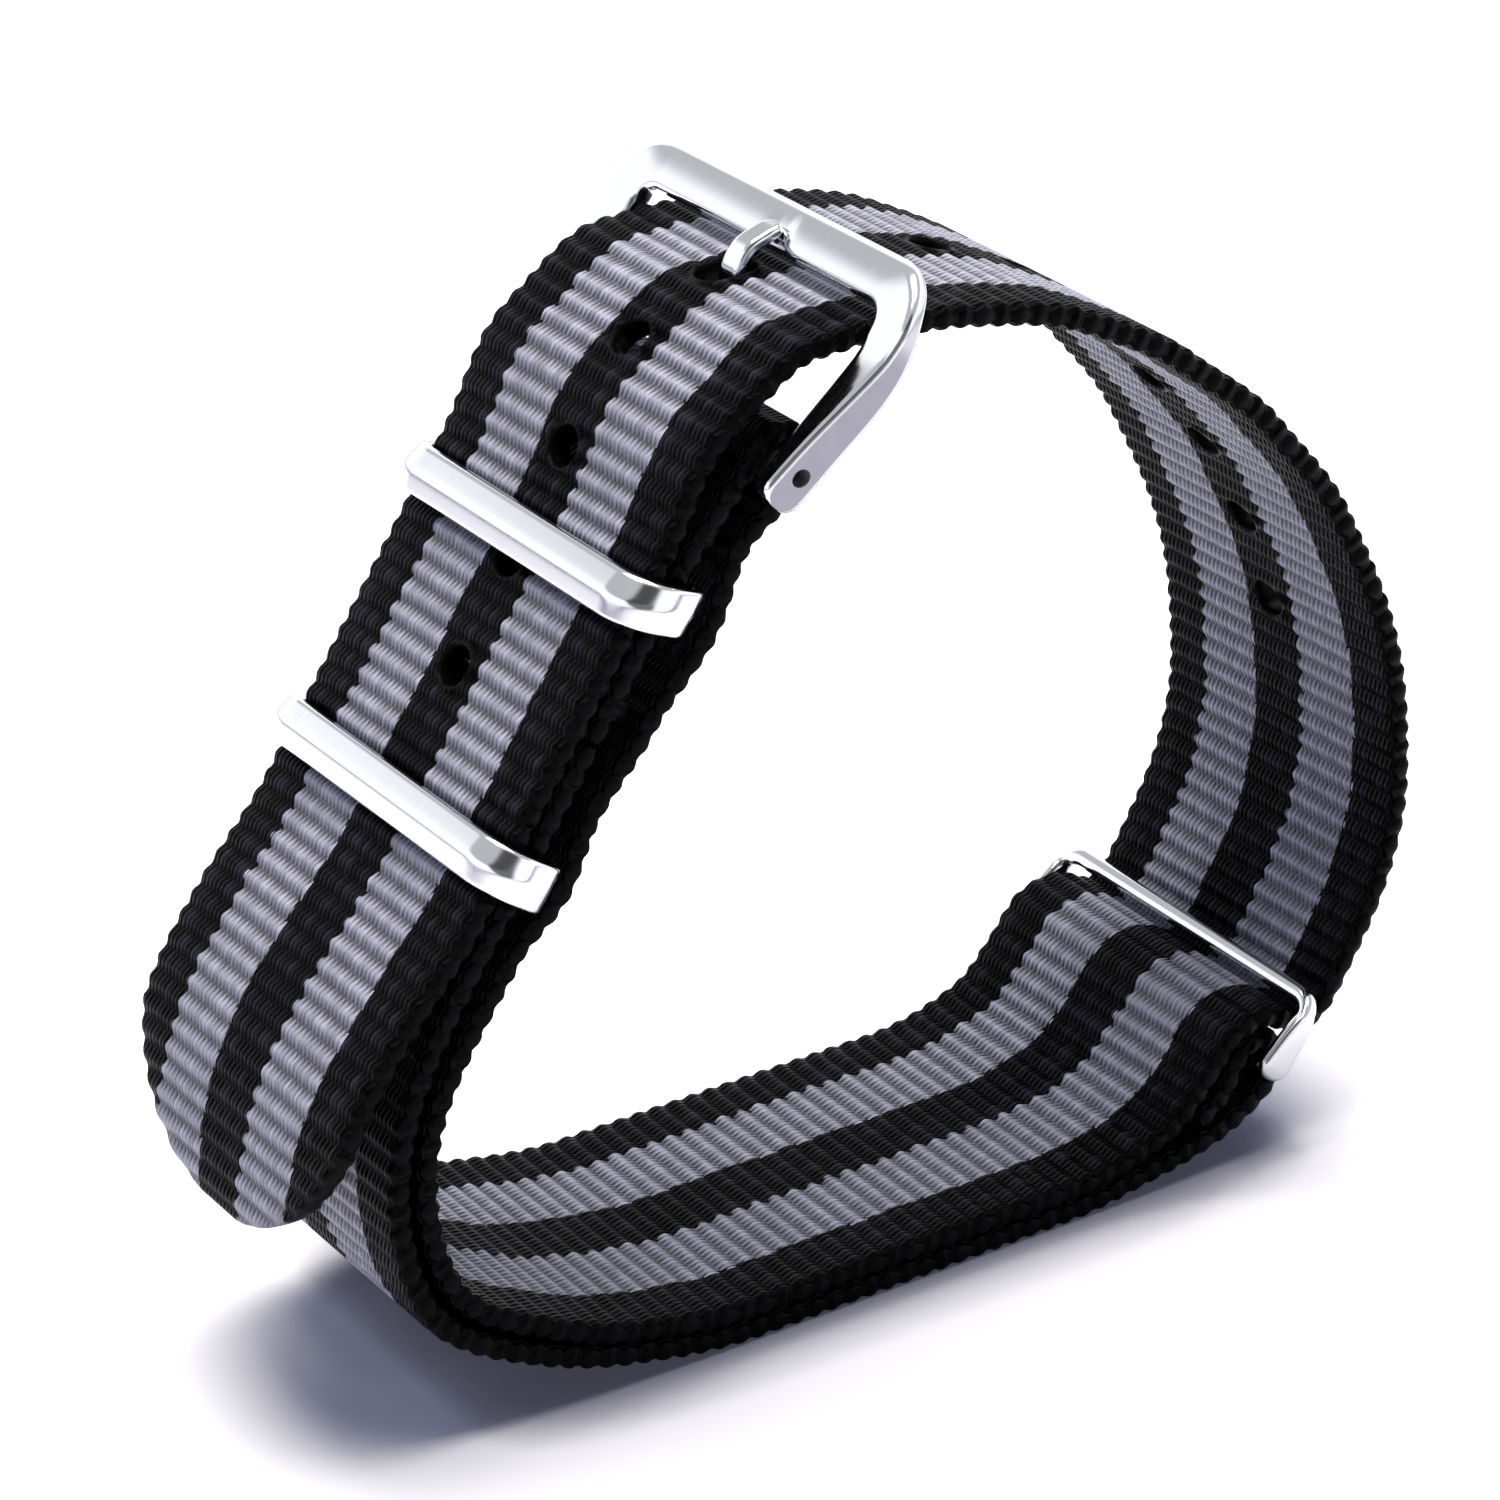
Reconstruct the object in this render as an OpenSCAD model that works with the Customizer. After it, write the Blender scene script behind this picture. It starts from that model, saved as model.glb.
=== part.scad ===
// Nylon watch strap of the pull-through kind, buckled into a closed loop and standing on its bottom run.
// X runs along the loop, Y across the webbing, Z up. The origin is on the ground below the loop's middle.
// Every layer of webbing is a ribbon of even thickness that follows a smooth line through a few knots.
// A knot is [x, z, heading]: a place in the XZ plane and the way the webbing runs there, in degrees.

/* [Webbing] */
// Width of both straps
strap_w = 20; // [18:0.5:24]
// Thickness of one layer of webbing
strap_t = 1.2; // [1:0.05:1.4]
// Space left between two layers that lie on each other
layer_gap = 0.1; // [0.05:0.01:0.2]
// Radius of the rounded tip of the long strap
tip_r = 10.5; // [10:0.1:14]
// Diameter of the punched holes
hole_d = 2.4; // [2.4:0.1:3]
// Distance between two holes
hole_pitch = 6.15; // [5.6:0.1:7.5]
// Number of holes on the tip's side of the one in use
holes_to_tip = 4; // [2:1:5]
// Number of holes on the loop's side of the one in use
holes_to_loop = 8; // [2:1:9]
// Length of the long strap beyond the spring bar
tail_l = 46.3; // [44:0.1:52]
// Length of the long strap's end that is folded back over the spring bar
fold_l = 16; // [14.5:0.1:18]

/* [Loop] */
// Length of the space inside the loop
loop_l = 62; // [56:1:74]
// Height of the space inside the loop
loop_h = 52; // [48:1:60]
// Slope of the straight front run, from the ground
front_a = 56.4; // [54:0.2:59]
// Slack between the folded end and the tail where they cross the spring bar
crossing_slack = 1.3; // [1:0.1:2]

/* [Buckle] */
// Length of the frame from the spring bar to its front edge
frame_l = 11.8; // [11:0.1:13.5]
// Slope of the frame, from the ground
frame_a = 45.5; // [43:0.5:48]
// Width of the front bar, along the strap
front_bar_w = 2.7; // [2.2:0.1:3]
// Room between the webbing's edge and each arm
side_play = 0.45; // [0.3:0.05:0.8]
// Width of an arm at the spring bar
arm_end_w = 1.05; // [0.9:0.05:1.4]
// Width of an arm beside the front bar
arm_front_w = 2.6; // [2:0.1:3]
// Radius of the eye at the end of an arm
eye_r = 1.25; // [1.1:0.05:1.4]
// Radius of the frame's front corners
corner_r = 3.5; // [2.5:0.1:4.5]
// Width of the tongue at its root
tongue_w = 1.3; // [1.1:0.1:1.6]
// Width of the tongue at its tip
tongue_tip_w = 0.9; // [0.8:0.1:1.1]
// Thickness of the tongue
tongue_t = 0.7; // [0.5:0.05:0.75]
// Width of the tongue's rolled eye
tongue_eye_w = 2.6; // [2:0.1:3.5]
// Sideways place of the tongue on the spring bar
tongue_y = 0.5; // [-0.6:0.1:0.8]
// Sideways lean of the tongue's tip
tongue_lean = -1.4; // [-1.6:0.1:0]

/* [Spring bar] */
// Radius of the tube
tube_r = 0.9; // [0.75:0.05:1]
// Wall of the tube
tube_wall = 0.28; // [0.2:0.02:0.3]
// Radius of the tips' pins
pin_r = 0.45; // [0.35:0.05:0.5]
// Running clearance round the pins
pin_play = 0.05; // [0.03:0.01:0.08]
// Length of the shank that guides each tip in the tube
shank_l = 2; // [1.5:0.1:3]
// Travel of each tip when it is pressed in
tip_travel = 0.8; // [0.6:0.05:1]

/* [Keepers] */
// Distance from the spring bar to the upper keeper
upper_keeper_s = 9; // [8.5:0.1:10.5]
// Distance between the two keepers
keeper_spacing = 14.5; // [13.5:0.1:17]
// Width of the band that the keepers are bent from
band_w = 2.55; // [2.2:0.05:3]
// Thickness of that band
band_t = 0.8; // [0.6:0.05:1]
// Room between the tail and the keeper's front
keeper_slack = 0.2; // [0.15:0.05:0.4]
// Height of the ridge along the keeper's front
ridge_h = 0.25; // [0.15:0.05:0.35]

/* [Ring] */
// Radius of the ring's two bars
ring_bar_r = 0.55; // [0.45:0.05:0.65]
// Room in the ring besides its two layers of webbing
ring_slack = 1.05; // [0.9:0.05:2]
// Slope of the ring's side plates, from the ground
ring_a = 48; // [44:1:52]
// Thickness of a side plate
ring_side_t = 0.9; // [0.7:0.05:1.1]
// Room between the webbing's edge and a side plate
ring_play = 0.6; // [0.4:0.05:0.9]

/* [Hidden] */
$fn = 48;

// Largest turn of a ribbon between two of its points, in degrees
turn_step = 7;
// Extra length of a cutting solid past what it cuts
over = 1;

// A step along a heading, and to the left of it
function ahead(a) = [cos(a), sin(a)];
function aside(a) = [-sin(a), cos(a)];
// Points of a rounded corner of radius r about a place, from one heading to another
function corner(x, y, r, a0, a1) = [for (k = [0 : 8]) [x, y] + r * ahead(a0 + (a1 - a0) * k / 8)];

// Ribbons
// The line between two knots is a cubic that is all but a circular arc where their headings allow one.
function pull(a, b) = norm([b.x - a.x, b.y - a.y]) / pow(cos((b[2] - a[2]) / 4), 2);
function chord_a(a, b) =
    let (raw = atan2(b.y - a.y, b.x - a.x), turns = round(((a[2] + b[2]) / 2 - raw) / 360))
    raw + 360 * turns;
function steps(a, b) =
    max(1, ceil((abs(a[2] - chord_a(a, b)) + abs(b[2] - chord_a(a, b))) / turn_step));
function on_span(a, b, u) =
    let (m = pull(a, b), p = [a.x, a.y], q = [b.x, b.y], ma = m * ahead(a[2]), mb = m * ahead(b[2]),
         at = (2*u*u*u - 3*u*u + 1) * p + (u*u*u - 2*u*u + u) * ma
            + (3*u*u - 2*u*u*u) * q + (u*u*u - u*u) * mb,
         way = (6*u*u - 6*u) * (p - q) + (3*u*u - 4*u + 1) * ma + (3*u*u - 2*u) * mb)
    [at.x, at.y, atan2(way.y, way.x)];
function line_of(knots) = concat(
    [for (i = [0 : len(knots) - 2])
        let (n = steps(knots[i], knots[i + 1]))
        each [for (k = [0 : n - 1]) on_span(knots[i], knots[i + 1], k / n)]],
    [knots[len(knots) - 1]]);
function beside(p, d) = [p.x, p.y] + d * aside(p[2]);

// Length of a line up to its point i, and the point at a length along it
function len_to(line, i) =
    i <= 0 ? 0 : len_to(line, i - 1) + norm([line[i].x - line[i-1].x, line[i].y - line[i-1].y]);
function seek(line, s, i = 1, done = 0) =
    let (a = line[i - 1], b = line[i], d = norm([b.x - a.x, b.y - a.y]))
    done + d >= s || i == len(line) - 1
        ? let (u = (s - done) / d) [a.x + u * (b.x - a.x), a.y + u * (b.y - a.y), atan2(b.y - a.y, b.x - a.x)]
        : seek(line, s, i + 1, done + d);

module ribbon(line, t, w) {
    rotate([90, 0, 0]) linear_extrude(w, center = true)
        polygon(concat([for (p = line) beside(p, t / 2)],
                       [for (i = [len(line) - 1 : -1 : 0]) beside(line[i], -t / 2)]));
}

// The wrist side of the loop, drawn 62 mm long and 52 mm high, stretches with the loop's own size.
// wrist() gives the middle of a layer whose inner face lies lift outside that place.
floor_h = 2 * strap_t + layer_gap;
function loop_at(x, z) = [x * loop_l / 62, floor_h + (z - 2.5) * loop_h / 52];
function wrist(x, z, a, lift = 0) =
    let (p = loop_at(x, z) - (lift + strap_t / 2) * aside(a)) [p.x, p.y, a];

// The front run: front(s, c) is s down from the spring bar and c out from its line.
pivot = loop_at(-7.7, 49.9);
down_a = front_a + 180;
function front(s, c, a) =
    let (p = pivot - s * ahead(front_a) + c * aside(front_a)) [p.x, p.y, a];

// Places across the stack on the front run, measured outwards from the spring bar's line
wrap_r = tube_r + layer_gap + strap_t / 2;
keeper_bar_c = 1.25;
middle_c = keeper_bar_c + band_t / 2 + layer_gap + strap_t / 2;
tail_c = middle_c + strap_t + layer_gap;
crossing_c = wrap_r + strap_t + crossing_slack;
lower_keeper_s = upper_keeper_s + keeper_spacing;
// Where the inner layer leans towards the middle one, at the welds, and away from it, at the keepers
weld_s = [4.6, upper_keeper_s + 5.3, lower_keeper_s - 4, lower_keeper_s + 4];
weld_c = [-0.4, -0.4, 0.15, 0.45];
pocket_c = [-1.1, -0.4];

// The buckle's own frame: buckle(u, n) is u along the frame from the spring bar and n out of its face.
function buckle(u, n, a) =
    let (p = pivot + u * ahead(frame_a) + n * aside(frame_a)) [p.x, p.y, a];
// Where the tongue goes through the long strap, and how far the strap runs below the front bar
hole_u = frame_l - 5.1;
hole_n = 1.2;
bar_drop = 2.35;
// The front bar's thickness and how far out of the frame's line it sits
bar_t = 1.15;
bar_n = 0.85;
under_bar = buckle(frame_l - front_bar_w / 2, bar_n, 537) + [-0.4, -bar_drop, 0];

// The ring: its held bar lies in the short strap's fold, its bare bar on the long strap.
held_bar = loop_at(25, 5.95);
ring_reach = 2 * ring_bar_r + 2 * strap_t + ring_slack;
bare_bar = held_bar + ring_reach * ahead(ring_a);
fold_r = ring_bar_r + layer_gap + strap_t / 2;
over_r = fold_r + strap_t + 2 * layer_gap;
function by_bare(x, z, a) =
    let (p = bare_bar + [x, z] - strap_t / 2 * aside(a)) [p.x, p.y, a];
function by_held(x, z, a) = [held_bar.x + x, held_bar.y + z, a];

// The long strap: folded end, turn round the spring bar, inner layer, ring, top, and tail
long_start = [
    front(fold_l, middle_c, down_a + 180),
    front(upper_keeper_s - band_w / 2, middle_c, down_a + 180),
    front(0, wrap_r, down_a + 180),
    front(-wrap_r, 0, down_a + 90),
    front(0, -wrap_r, down_a)];
long_inner = [
    front(weld_s[0], weld_c[0], down_a),
    front(upper_keeper_s, pocket_c[0], down_a),
    front(weld_s[1], weld_c[1], down_a),
    front(weld_s[2], weld_c[2], down_a),
    front(lower_keeper_s, pocket_c[1], down_a),
    front(weld_s[3], weld_c[3], down_a),
    wrist(-27.7, 17.6, 262),
    wrist(-26.6, 10, 296),
    wrist(-22.8, 6.6, 332),
    wrist(-16.2, 3.7, 347),
    wrist(-8.5, 2.5, 360),
    wrist(12.3, 2.5, 360),
    wrist(18.6, 3.9, 384),
    wrist(21.3, 6.5, 409)];
long_ring = [
    by_held(-0.72 * over_r, 0.7 * over_r, 406),
    by_held(0, over_r, 371),
    by_bare(-1.3, -0.5, 340),
    by_bare(0.4, -1.2, 365),
    by_bare(1.9, 0.2, 419)];
long_outer = [
    wrist(31.7, 12.6, 422),
    wrist(33.1, 16, 434),
    wrist(33.7, 19, 444),
    wrist(33.5, 24.2, 456),
    wrist(32.1, 30.4, 470),
    wrist(28.4, 37.9, 479),
    wrist(23.5, 44, 490),
    wrist(17.8, 48.7, 501),
    wrist(11, 52.6, 514),
    wrist(3.9, 54.5, 529),
    under_bar];
long_tail = [
    front(-5.1, 1.9, down_a + 325),
    front(-1.9, crossing_c - 0.85, down_a + 341),
    front(1, crossing_c, down_a + 355),
    front(upper_keeper_s - 2.4, tail_c, down_a + 360),
    front(lower_keeper_s + 3, tail_c, down_a + 360),
    front(32.8, tail_c + 0.65, down_a + 356),
    front(37.8, tail_c + 0.75, down_a + 365),
    front(43, tail_c - 0.6, down_a + 381),
    front(tail_l, tail_c - 2.3, down_a + 393)];
hole_knot = buckle(hole_u, hole_n, 545);
long_line = line_of(concat(long_start, long_inner, long_ring, long_outer, [hole_knot], long_tail));
// Length of the long strap up to the hole in use
hole_line = line_of(concat(long_start, long_inner, long_ring, long_outer, [hole_knot]));
hole_at = len_to(hole_line, len(hole_line) - 1);

// The short strap: from the weld behind the long strap's folded end, round the corner, to the ring
butt_gap = 0.3;
under = strap_t + layer_gap;
short_line = line_of([
    front(fold_l + butt_gap, middle_c, down_a),
    front(lower_keeper_s + 3, middle_c, down_a),
    wrist(-27.7, 17.6, 262, under + 0.3),
    wrist(-26.6, 10, 296, under + 0.35),
    wrist(-22.8, 6.6, 332, under + 0.25),
    wrist(-16.2, 3.7, 347, under),
    wrist(-8.5, 2.5, 360, under),
    wrist(12.3, 2.5, 360, under),
    by_held(-6.4, -4.6, 368),
    by_held(-2.2, -3.6, 380),
    by_held(0.6, -2, 399),
    by_held(1.6, -0.2, 446),
    by_held(0.3, fold_r, 537),
    by_held(-0.65 * fold_r, 0.8 * fold_r, 582),
    by_held(-2.4, -1.6, 584),
    by_held(-3.8, -2.6, 573)]);
fold_weld = by_held(-3.1, -3.1, 378);

// Buckle parts in their own frame: X along u, Z along n
module at_buckle() {
    translate([pivot.x, 0, pivot.y]) rotate([0, -frame_a, 0]) children();
}
// A side outline drawn in u and n, made w wide
module side(w) {
    rotate([90, 0, 0]) linear_extrude(w, center = true) children();
}
module across(r, w) {
    rotate([90, 0, 0]) cylinder(r = r, h = w, center = true);
}

// The front run's own frame: X along c, Z along s
module at_front() {
    translate([pivot.x, 0, pivot.y]) rotate([0, 270 - front_a, 0]) children();
}

// A weld: webbing melted together in a bar across the width, from c0 to c1
weld_w = 1;
weld_inset = 1.5;
weld_bite = 0.1;
module weld(s, c0, c1) {
    at_front() translate([c0, -strap_w / 2 + weld_inset, s - weld_w / 2])
        cube([c1 - c0, strap_w - 2 * weld_inset, weld_w]);
}

// The long strap: one ribbon with its tip rounded, its holes punched and its wrap slotted for the tongue
slot_r = wrap_r + strap_t / 2 + 0.7;
slot_w = tongue_eye_w + 1;
tip_a = down_a + 384;
// How far the hole in use is drawn out by the tongue, towards the loop and towards the tip
give_loop = 0.5;
give_tip = 0.9;
module hole_at_length(s) {
    p = seek(long_line, s);
    translate([p.x, 0, p.y]) rotate([0, -p[2], 0]) cylinder(d = hole_d, h = 2 * strap_t, center = true);
}
module hole_in_use() {
    p = seek(long_line, hole_at);
    translate([p.x, 0, p.y]) rotate([0, -p[2], 0]) {
        for (x = [-give_loop, give_tip]) translate([x, 0, 0])
            cylinder(d = hole_d, h = 2 * strap_t, center = true);
        translate([-give_loop, -hole_d / 2, -strap_t]) cube([give_loop + give_tip, hole_d, 2 * strap_t]);
    }
}
module tip_cut() {
    end = long_line[len(long_line) - 1];
    deep = 4 * strap_t;
    translate([end.x, 0, end.y]) rotate([0, -tip_a, 0]) translate([-tip_r, 0, -deep / 2]) difference() {
        translate([0, -strap_w, 0]) cube([2 * tip_r, 2 * strap_w, deep]);
        translate([0, 0, -over]) cylinder(r = tip_r, h = deep + 2 * over);
    }
}
module long_strap() {
    color([0.16, 0.16, 0.18]) difference() {
        union() {
            ribbon(long_line, strap_t, strap_w);
            for (i = [0, 1]) weld(weld_s[i], weld_c[i], middle_c);
        }
        tip_cut();
        for (i = [-holes_to_loop : holes_to_tip]) if (i != 0) hole_at_length(hole_at + i * hole_pitch);
        hole_in_use();
        translate([pivot.x, tongue_y, pivot.y]) across(slot_r, slot_w);
    }
}

module short_strap() {
    color([0.2, 0.2, 0.23]) {
        ribbon(short_line, strap_t, strap_w);
        for (i = [2, 3]) weld(weld_s[i], weld_c[i] + strap_t / 2 - weld_bite, middle_c);
        translate([fold_weld.x, 0, fold_weld.y]) rotate([0, -fold_weld[2], 0])
            cube([weld_w, strap_w - 2 * weld_inset, strap_t], center = true);
    }
}

// Buckle frame: a side outline and a plan outline share the material where they cross
eye_t = 2 * eye_r;
eye_back = 1.9;
eye_corner = 0.8;
waist_u = 6.3;
waist_t = 0.85;
waist_n = -0.05;
window_hw = strap_w / 2 + side_play;
arm_end_hw = window_hw + arm_end_w;
arm_front_hw = window_hw + arm_front_w;
window_r = 1.1;
eye_end = -eye_back + eye_corner;
frame_top = line_of([
    [eye_end + 0.1, eye_t / 2, 360],
    [1, eye_t / 2 - 0.3, 352],
    [waist_u, waist_n + waist_t / 2, 360],
    [frame_l - front_bar_w, bar_n + bar_t / 2 - 0.3, 385],
    [frame_l - 0.45 * front_bar_w, bar_n + bar_t / 2, 360],
    [frame_l, bar_n, 300]]);
frame_under = line_of([
    [frame_l - 0.4, bar_n - bar_t / 2 + 0.1, 195],
    [frame_l - front_bar_w, bar_n - bar_t / 2 - 0.15, 188],
    [waist_u, waist_n - waist_t / 2, 186],
    [1, -eye_t / 2 + 0.2, 184],
    [eye_end + 0.1, -eye_t / 2, 180]]);
module frame_side() {
    polygon(concat([for (p = frame_top) [p.x, p.y]], [for (p = frame_under) [p.x, p.y]],
        corner(eye_end, -eye_t / 2 + eye_corner, eye_corner, 270, 180),
        corner(eye_end, eye_t / 2 - eye_corner, eye_corner, 180, 90)));
}
module frame_plan() {
    front_u = frame_l - corner_r;
    front_y = arm_front_hw - corner_r;
    window_u = frame_l - front_bar_w - window_r;
    window_y = window_hw - window_r;
    polygon(concat([[-eye_back, -arm_end_hw]],
        corner(front_u, -front_y, corner_r, 270, 360), corner(front_u, front_y, corner_r, 0, 90),
        [[-eye_back, arm_end_hw], [-eye_back, window_hw]],
        corner(window_u, window_y, window_r, 90, 0), corner(window_u, -window_y, window_r, 0, -90),
        [[-eye_back, -window_hw]]));
}
notch_deep = 0.4;
notch_play = 0.25;
tongue_n = bar_n + bar_t / 2 - notch_deep + tongue_t / 2 + layer_gap / 2;
module buckle_frame() {
    color([0.82, 0.83, 0.85]) at_buckle() difference() {
        intersection() {
            side(2 * arm_front_hw) frame_side();
            translate([0, 0, -eye_t]) linear_extrude(2 * eye_t) frame_plan();
        }
        across(pin_r + pin_play, 2 * arm_front_hw + over);
        translate([frame_l - front_bar_w - over, tongue_y + tongue_lean - tongue_tip_w / 2 - notch_play,
                   bar_n + bar_t / 2 - notch_deep])
            cube([front_bar_w + 2 * over, tongue_tip_w + 2 * notch_play, eye_t]);
    }
}

// Buckle tongue: a rolled eye on the spring bar and a tapering finger that lies in the notch
tongue_l = frame_l - 0.6;
tongue_eye_r = tube_r + pin_play + tongue_t;
tongue_line = line_of([
    [0, tube_r + pin_play + tongue_t / 2, 360],
    [hole_u, hole_n, 366],
    [frame_l - front_bar_w + 0.6, tongue_n, 362],
    [tongue_l, tongue_n - 0.05, 357]]);
module tongue_plan() {
    tip = tongue_tip_w / 2;
    translate([0, tongue_y]) polygon([[0, -tongue_w / 2], [tongue_l - tip, tongue_lean - tip],
        [tongue_l - tip, tongue_lean + tip], [0, tongue_w / 2]]);
    translate([tongue_l - tip, tongue_y + tongue_lean]) circle(tip);
}
module buckle_tongue() {
    color([0.86, 0.87, 0.89]) at_buckle() difference() {
        union() {
            translate([0, tongue_y, 0]) across(tongue_eye_r, tongue_eye_w);
            intersection() {
                rotate([90, 0, 0]) linear_extrude(strap_w, center = true)
                    polygon(concat([for (p = tongue_line) beside(p, tongue_t / 2)],
                        [for (i = [len(tongue_line) - 1 : -1 : 0]) beside(tongue_line[i], -tongue_t / 2)]));
                translate([0, 0, -eye_t]) linear_extrude(3 * eye_t) tongue_plan();
            }
        }
        translate([0, tongue_y, 0]) across(tube_r + pin_play, tongue_eye_w + 2 * over);
    }
}

// Spring bar: a tube closed to a collar at each end, two sprung tips and the spring between them
bore_r = tube_r - tube_wall;
tube_hl = window_hw - 0.25;
collar_t = 0.4;
shank_r = bore_r - pin_play;
// A tip that is pressed all the way in ends this far inside the arm's inner face
pressed_clear = 0.35;
pin_end = window_hw + tip_travel - pressed_clear;
shank_end = tube_hl - collar_t - pin_play;
spring_r = shank_r - 0.05;
module at_bar() {
    translate([pivot.x, 0, pivot.y]) rotate([90, 0, 0]) children();
}
module spring_bar_tube() {
    color([0.7, 0.71, 0.74]) at_bar() difference() {
        cylinder(r = tube_r, h = 2 * tube_hl, center = true);
        cylinder(r = bore_r, h = 2 * (tube_hl - collar_t), center = true);
        cylinder(r = pin_r + pin_play, h = 2 * (tube_hl + over), center = true);
    }
}
// way is 1 for the tip that points to -Y and -1 for the other
module tip(way) {
    color([0.78, 0.79, 0.82]) at_bar() mirror([0, 0, way > 0 ? 0 : 1]) {
        translate([0, 0, shank_end - shank_l]) cylinder(r = shank_r, h = shank_l);
        translate([0, 0, shank_end - shank_l]) cylinder(r = pin_r, h = pin_end - shank_end + shank_l);
    }
}
module spring_bar_tip_near() {
    tip(1);
}
module spring_bar_tip_far() {
    tip(-1);
}
module spring_bar_spring() {
    color([0.6, 0.6, 0.62]) at_bar()
        cylinder(r = spring_r, h = 2 * (shank_end - shank_l - layer_gap), center = true);
}

// A keeper: a closed band bent round the tail and one bar that lies between the two under layers
keeper_hw = strap_w / 2 + 0.5 + band_t;
keeper_in = keeper_bar_c - band_t / 2;
keeper_out = tail_c + strap_t / 2 + keeper_slack + band_t;
// Outer radius of its bends at the bar and at the front
back_bend_r = 1.3;
front_bend_r = 1.7;
module rounded(x0, x1, hw, back_r, front_r) {
    translate([x0 + back_r, -hw]) square([x1 - x0 - back_r - front_r, 2 * hw]);
    translate([x0, -hw + back_r]) square([x1 - x0 - front_r, 2 * (hw - back_r)]);
    translate([x0 + back_r, -hw + front_r]) square([x1 - x0 - back_r, 2 * (hw - front_r)]);
    for (y = [-1, 1]) {
        translate([x0 + back_r, y * (hw - back_r)]) circle(back_r);
        translate([x1 - front_r, y * (hw - front_r)]) circle(front_r);
    }
}
module keeper(s) {
    color([0.84, 0.85, 0.87]) at_front() translate([0, 0, s]) intersection() {
        translate([0, 0, -band_w / 2]) linear_extrude(band_w) difference() {
            rounded(keeper_in, keeper_out + ridge_h, keeper_hw, back_bend_r, front_bend_r);
            rounded(keeper_in + band_t, keeper_out - band_t, keeper_hw - band_t,
                    back_bend_r - 0.6 * band_t, front_bend_r - band_t);
        }
        side(2 * keeper_hw) polygon([[keeper_in, -band_w / 2], [keeper_out, -band_w / 2],
            [keeper_out + ridge_h, 0], [keeper_out, band_w / 2], [keeper_in, band_w / 2]]);
    }
}
module upper_keeper() {
    keeper(upper_keeper_s);
}
module lower_keeper() {
    keeper(lower_keeper_s);
}

// End ring: a held bar, a bare bar and two side plates that taper from the held bar's end to the other
held_end_r = ring_bar_r + 0.5;
bare_end_r = ring_bar_r + 0.25;
plate_y = strap_w / 2 + ring_play + ring_side_t / 2;
module plate_side() {
    taper = 90 - asin((held_end_r - bare_end_r) / ring_reach);
    polygon(concat(corner(ring_reach, 0, bare_end_r, -taper, taper),
        corner(0, 0, held_end_r, taper, 360 - taper)));
}
module end_ring() {
    color([0.8, 0.81, 0.84]) translate([held_bar.x, 0, held_bar.y]) rotate([0, -ring_a, 0]) {
        for (x = [0, ring_reach]) translate([x, 0, 0]) across(ring_bar_r, 2 * plate_y);
        for (y = [-1, 1]) translate([0, y * plate_y, 0]) side(ring_side_t) plate_side();
    }
}

long_strap();
short_strap();
buckle_frame();
buckle_tongue();
spring_bar_tube();
spring_bar_tip_near();
spring_bar_tip_far();
spring_bar_spring();
upper_keeper();
lower_keeper();
end_ring();
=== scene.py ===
"""Nylon pull-through watch strap, buckled into a loop: webbing, buckle, keepers and end ring.

Lengths are worked out in millimetres in the part's own frame and put into the meshes in metres.
The loop stands on the floor in the XZ plane, with the width of the webbing along Y.
"""
import math

import bpy
import numpy as np
from mathutils import Matrix, Vector


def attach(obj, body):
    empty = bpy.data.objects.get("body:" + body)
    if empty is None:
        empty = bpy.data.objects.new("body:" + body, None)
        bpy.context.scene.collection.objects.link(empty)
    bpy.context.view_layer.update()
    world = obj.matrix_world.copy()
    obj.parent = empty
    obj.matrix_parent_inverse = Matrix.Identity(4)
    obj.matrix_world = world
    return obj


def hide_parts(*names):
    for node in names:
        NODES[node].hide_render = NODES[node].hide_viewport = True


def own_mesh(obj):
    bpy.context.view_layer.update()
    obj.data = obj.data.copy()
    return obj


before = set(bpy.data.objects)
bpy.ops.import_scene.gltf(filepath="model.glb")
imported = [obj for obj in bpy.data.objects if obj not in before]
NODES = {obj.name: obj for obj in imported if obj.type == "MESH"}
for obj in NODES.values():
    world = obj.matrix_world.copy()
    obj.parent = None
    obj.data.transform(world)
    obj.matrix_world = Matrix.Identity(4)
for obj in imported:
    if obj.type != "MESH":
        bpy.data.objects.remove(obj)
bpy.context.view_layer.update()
MM = 0.001

# Sizes in millimetres and angles in degrees, the same as the solids have
STRAP_W, STRAP_T, LAYER_GAP = 20, 1.2, 0.1
HALF_W = STRAP_W / 2
TIP_R, HOLE_D, HOLE_PITCH = 10.5, 2.4, 6.15
HOLES_TO_TIP, HOLES_TO_LOOP = 4, 8
TAIL_L, FOLD_L, BUTT_GAP = 46.3, 16, 0.3
FRONT_A, CROSSING_SLACK = 56.4, 1.3
FRAME_L, FRAME_A, FRONT_BAR_W = 11.8, 45.5, 2.7
SIDE_PLAY, ARM_END_W, ARM_FRONT_W = 0.45, 1.05, 2.6
EYE_R, EYE_BACK, EYE_CORNER, CORNER_R, WINDOW_R = 1.25, 1.9, 0.8, 3.5, 1.1
BAR_T, BAR_N, BAR_BACK, BAR_DROP = 1.15, 0.85, 0.4, 2.35
TUBE_R, PIN_R, PIN_PLAY, TIP_TRAVEL = 0.9, 0.45, 0.05, 0.8
SPRING_R, SPRING_HL = 0.52, 7.65
TONGUE_Y, TONGUE_EYE_W = 0.5, 2.6
KEEPER_BAR_C, UPPER_KEEPER_S, KEEPER_SPACING = 1.25, 9, 14.5
BAND_W, BAND_T, KEEPER_SLACK = 2.55, 0.8, 0.2
RING_BAR_R, RING_SLACK, RING_A, RING_SIDE_T, RING_PLAY = 0.55, 1.05, 48, 0.9, 0.6
WELD_W, WELD_INSET = 1, 1.5
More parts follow.
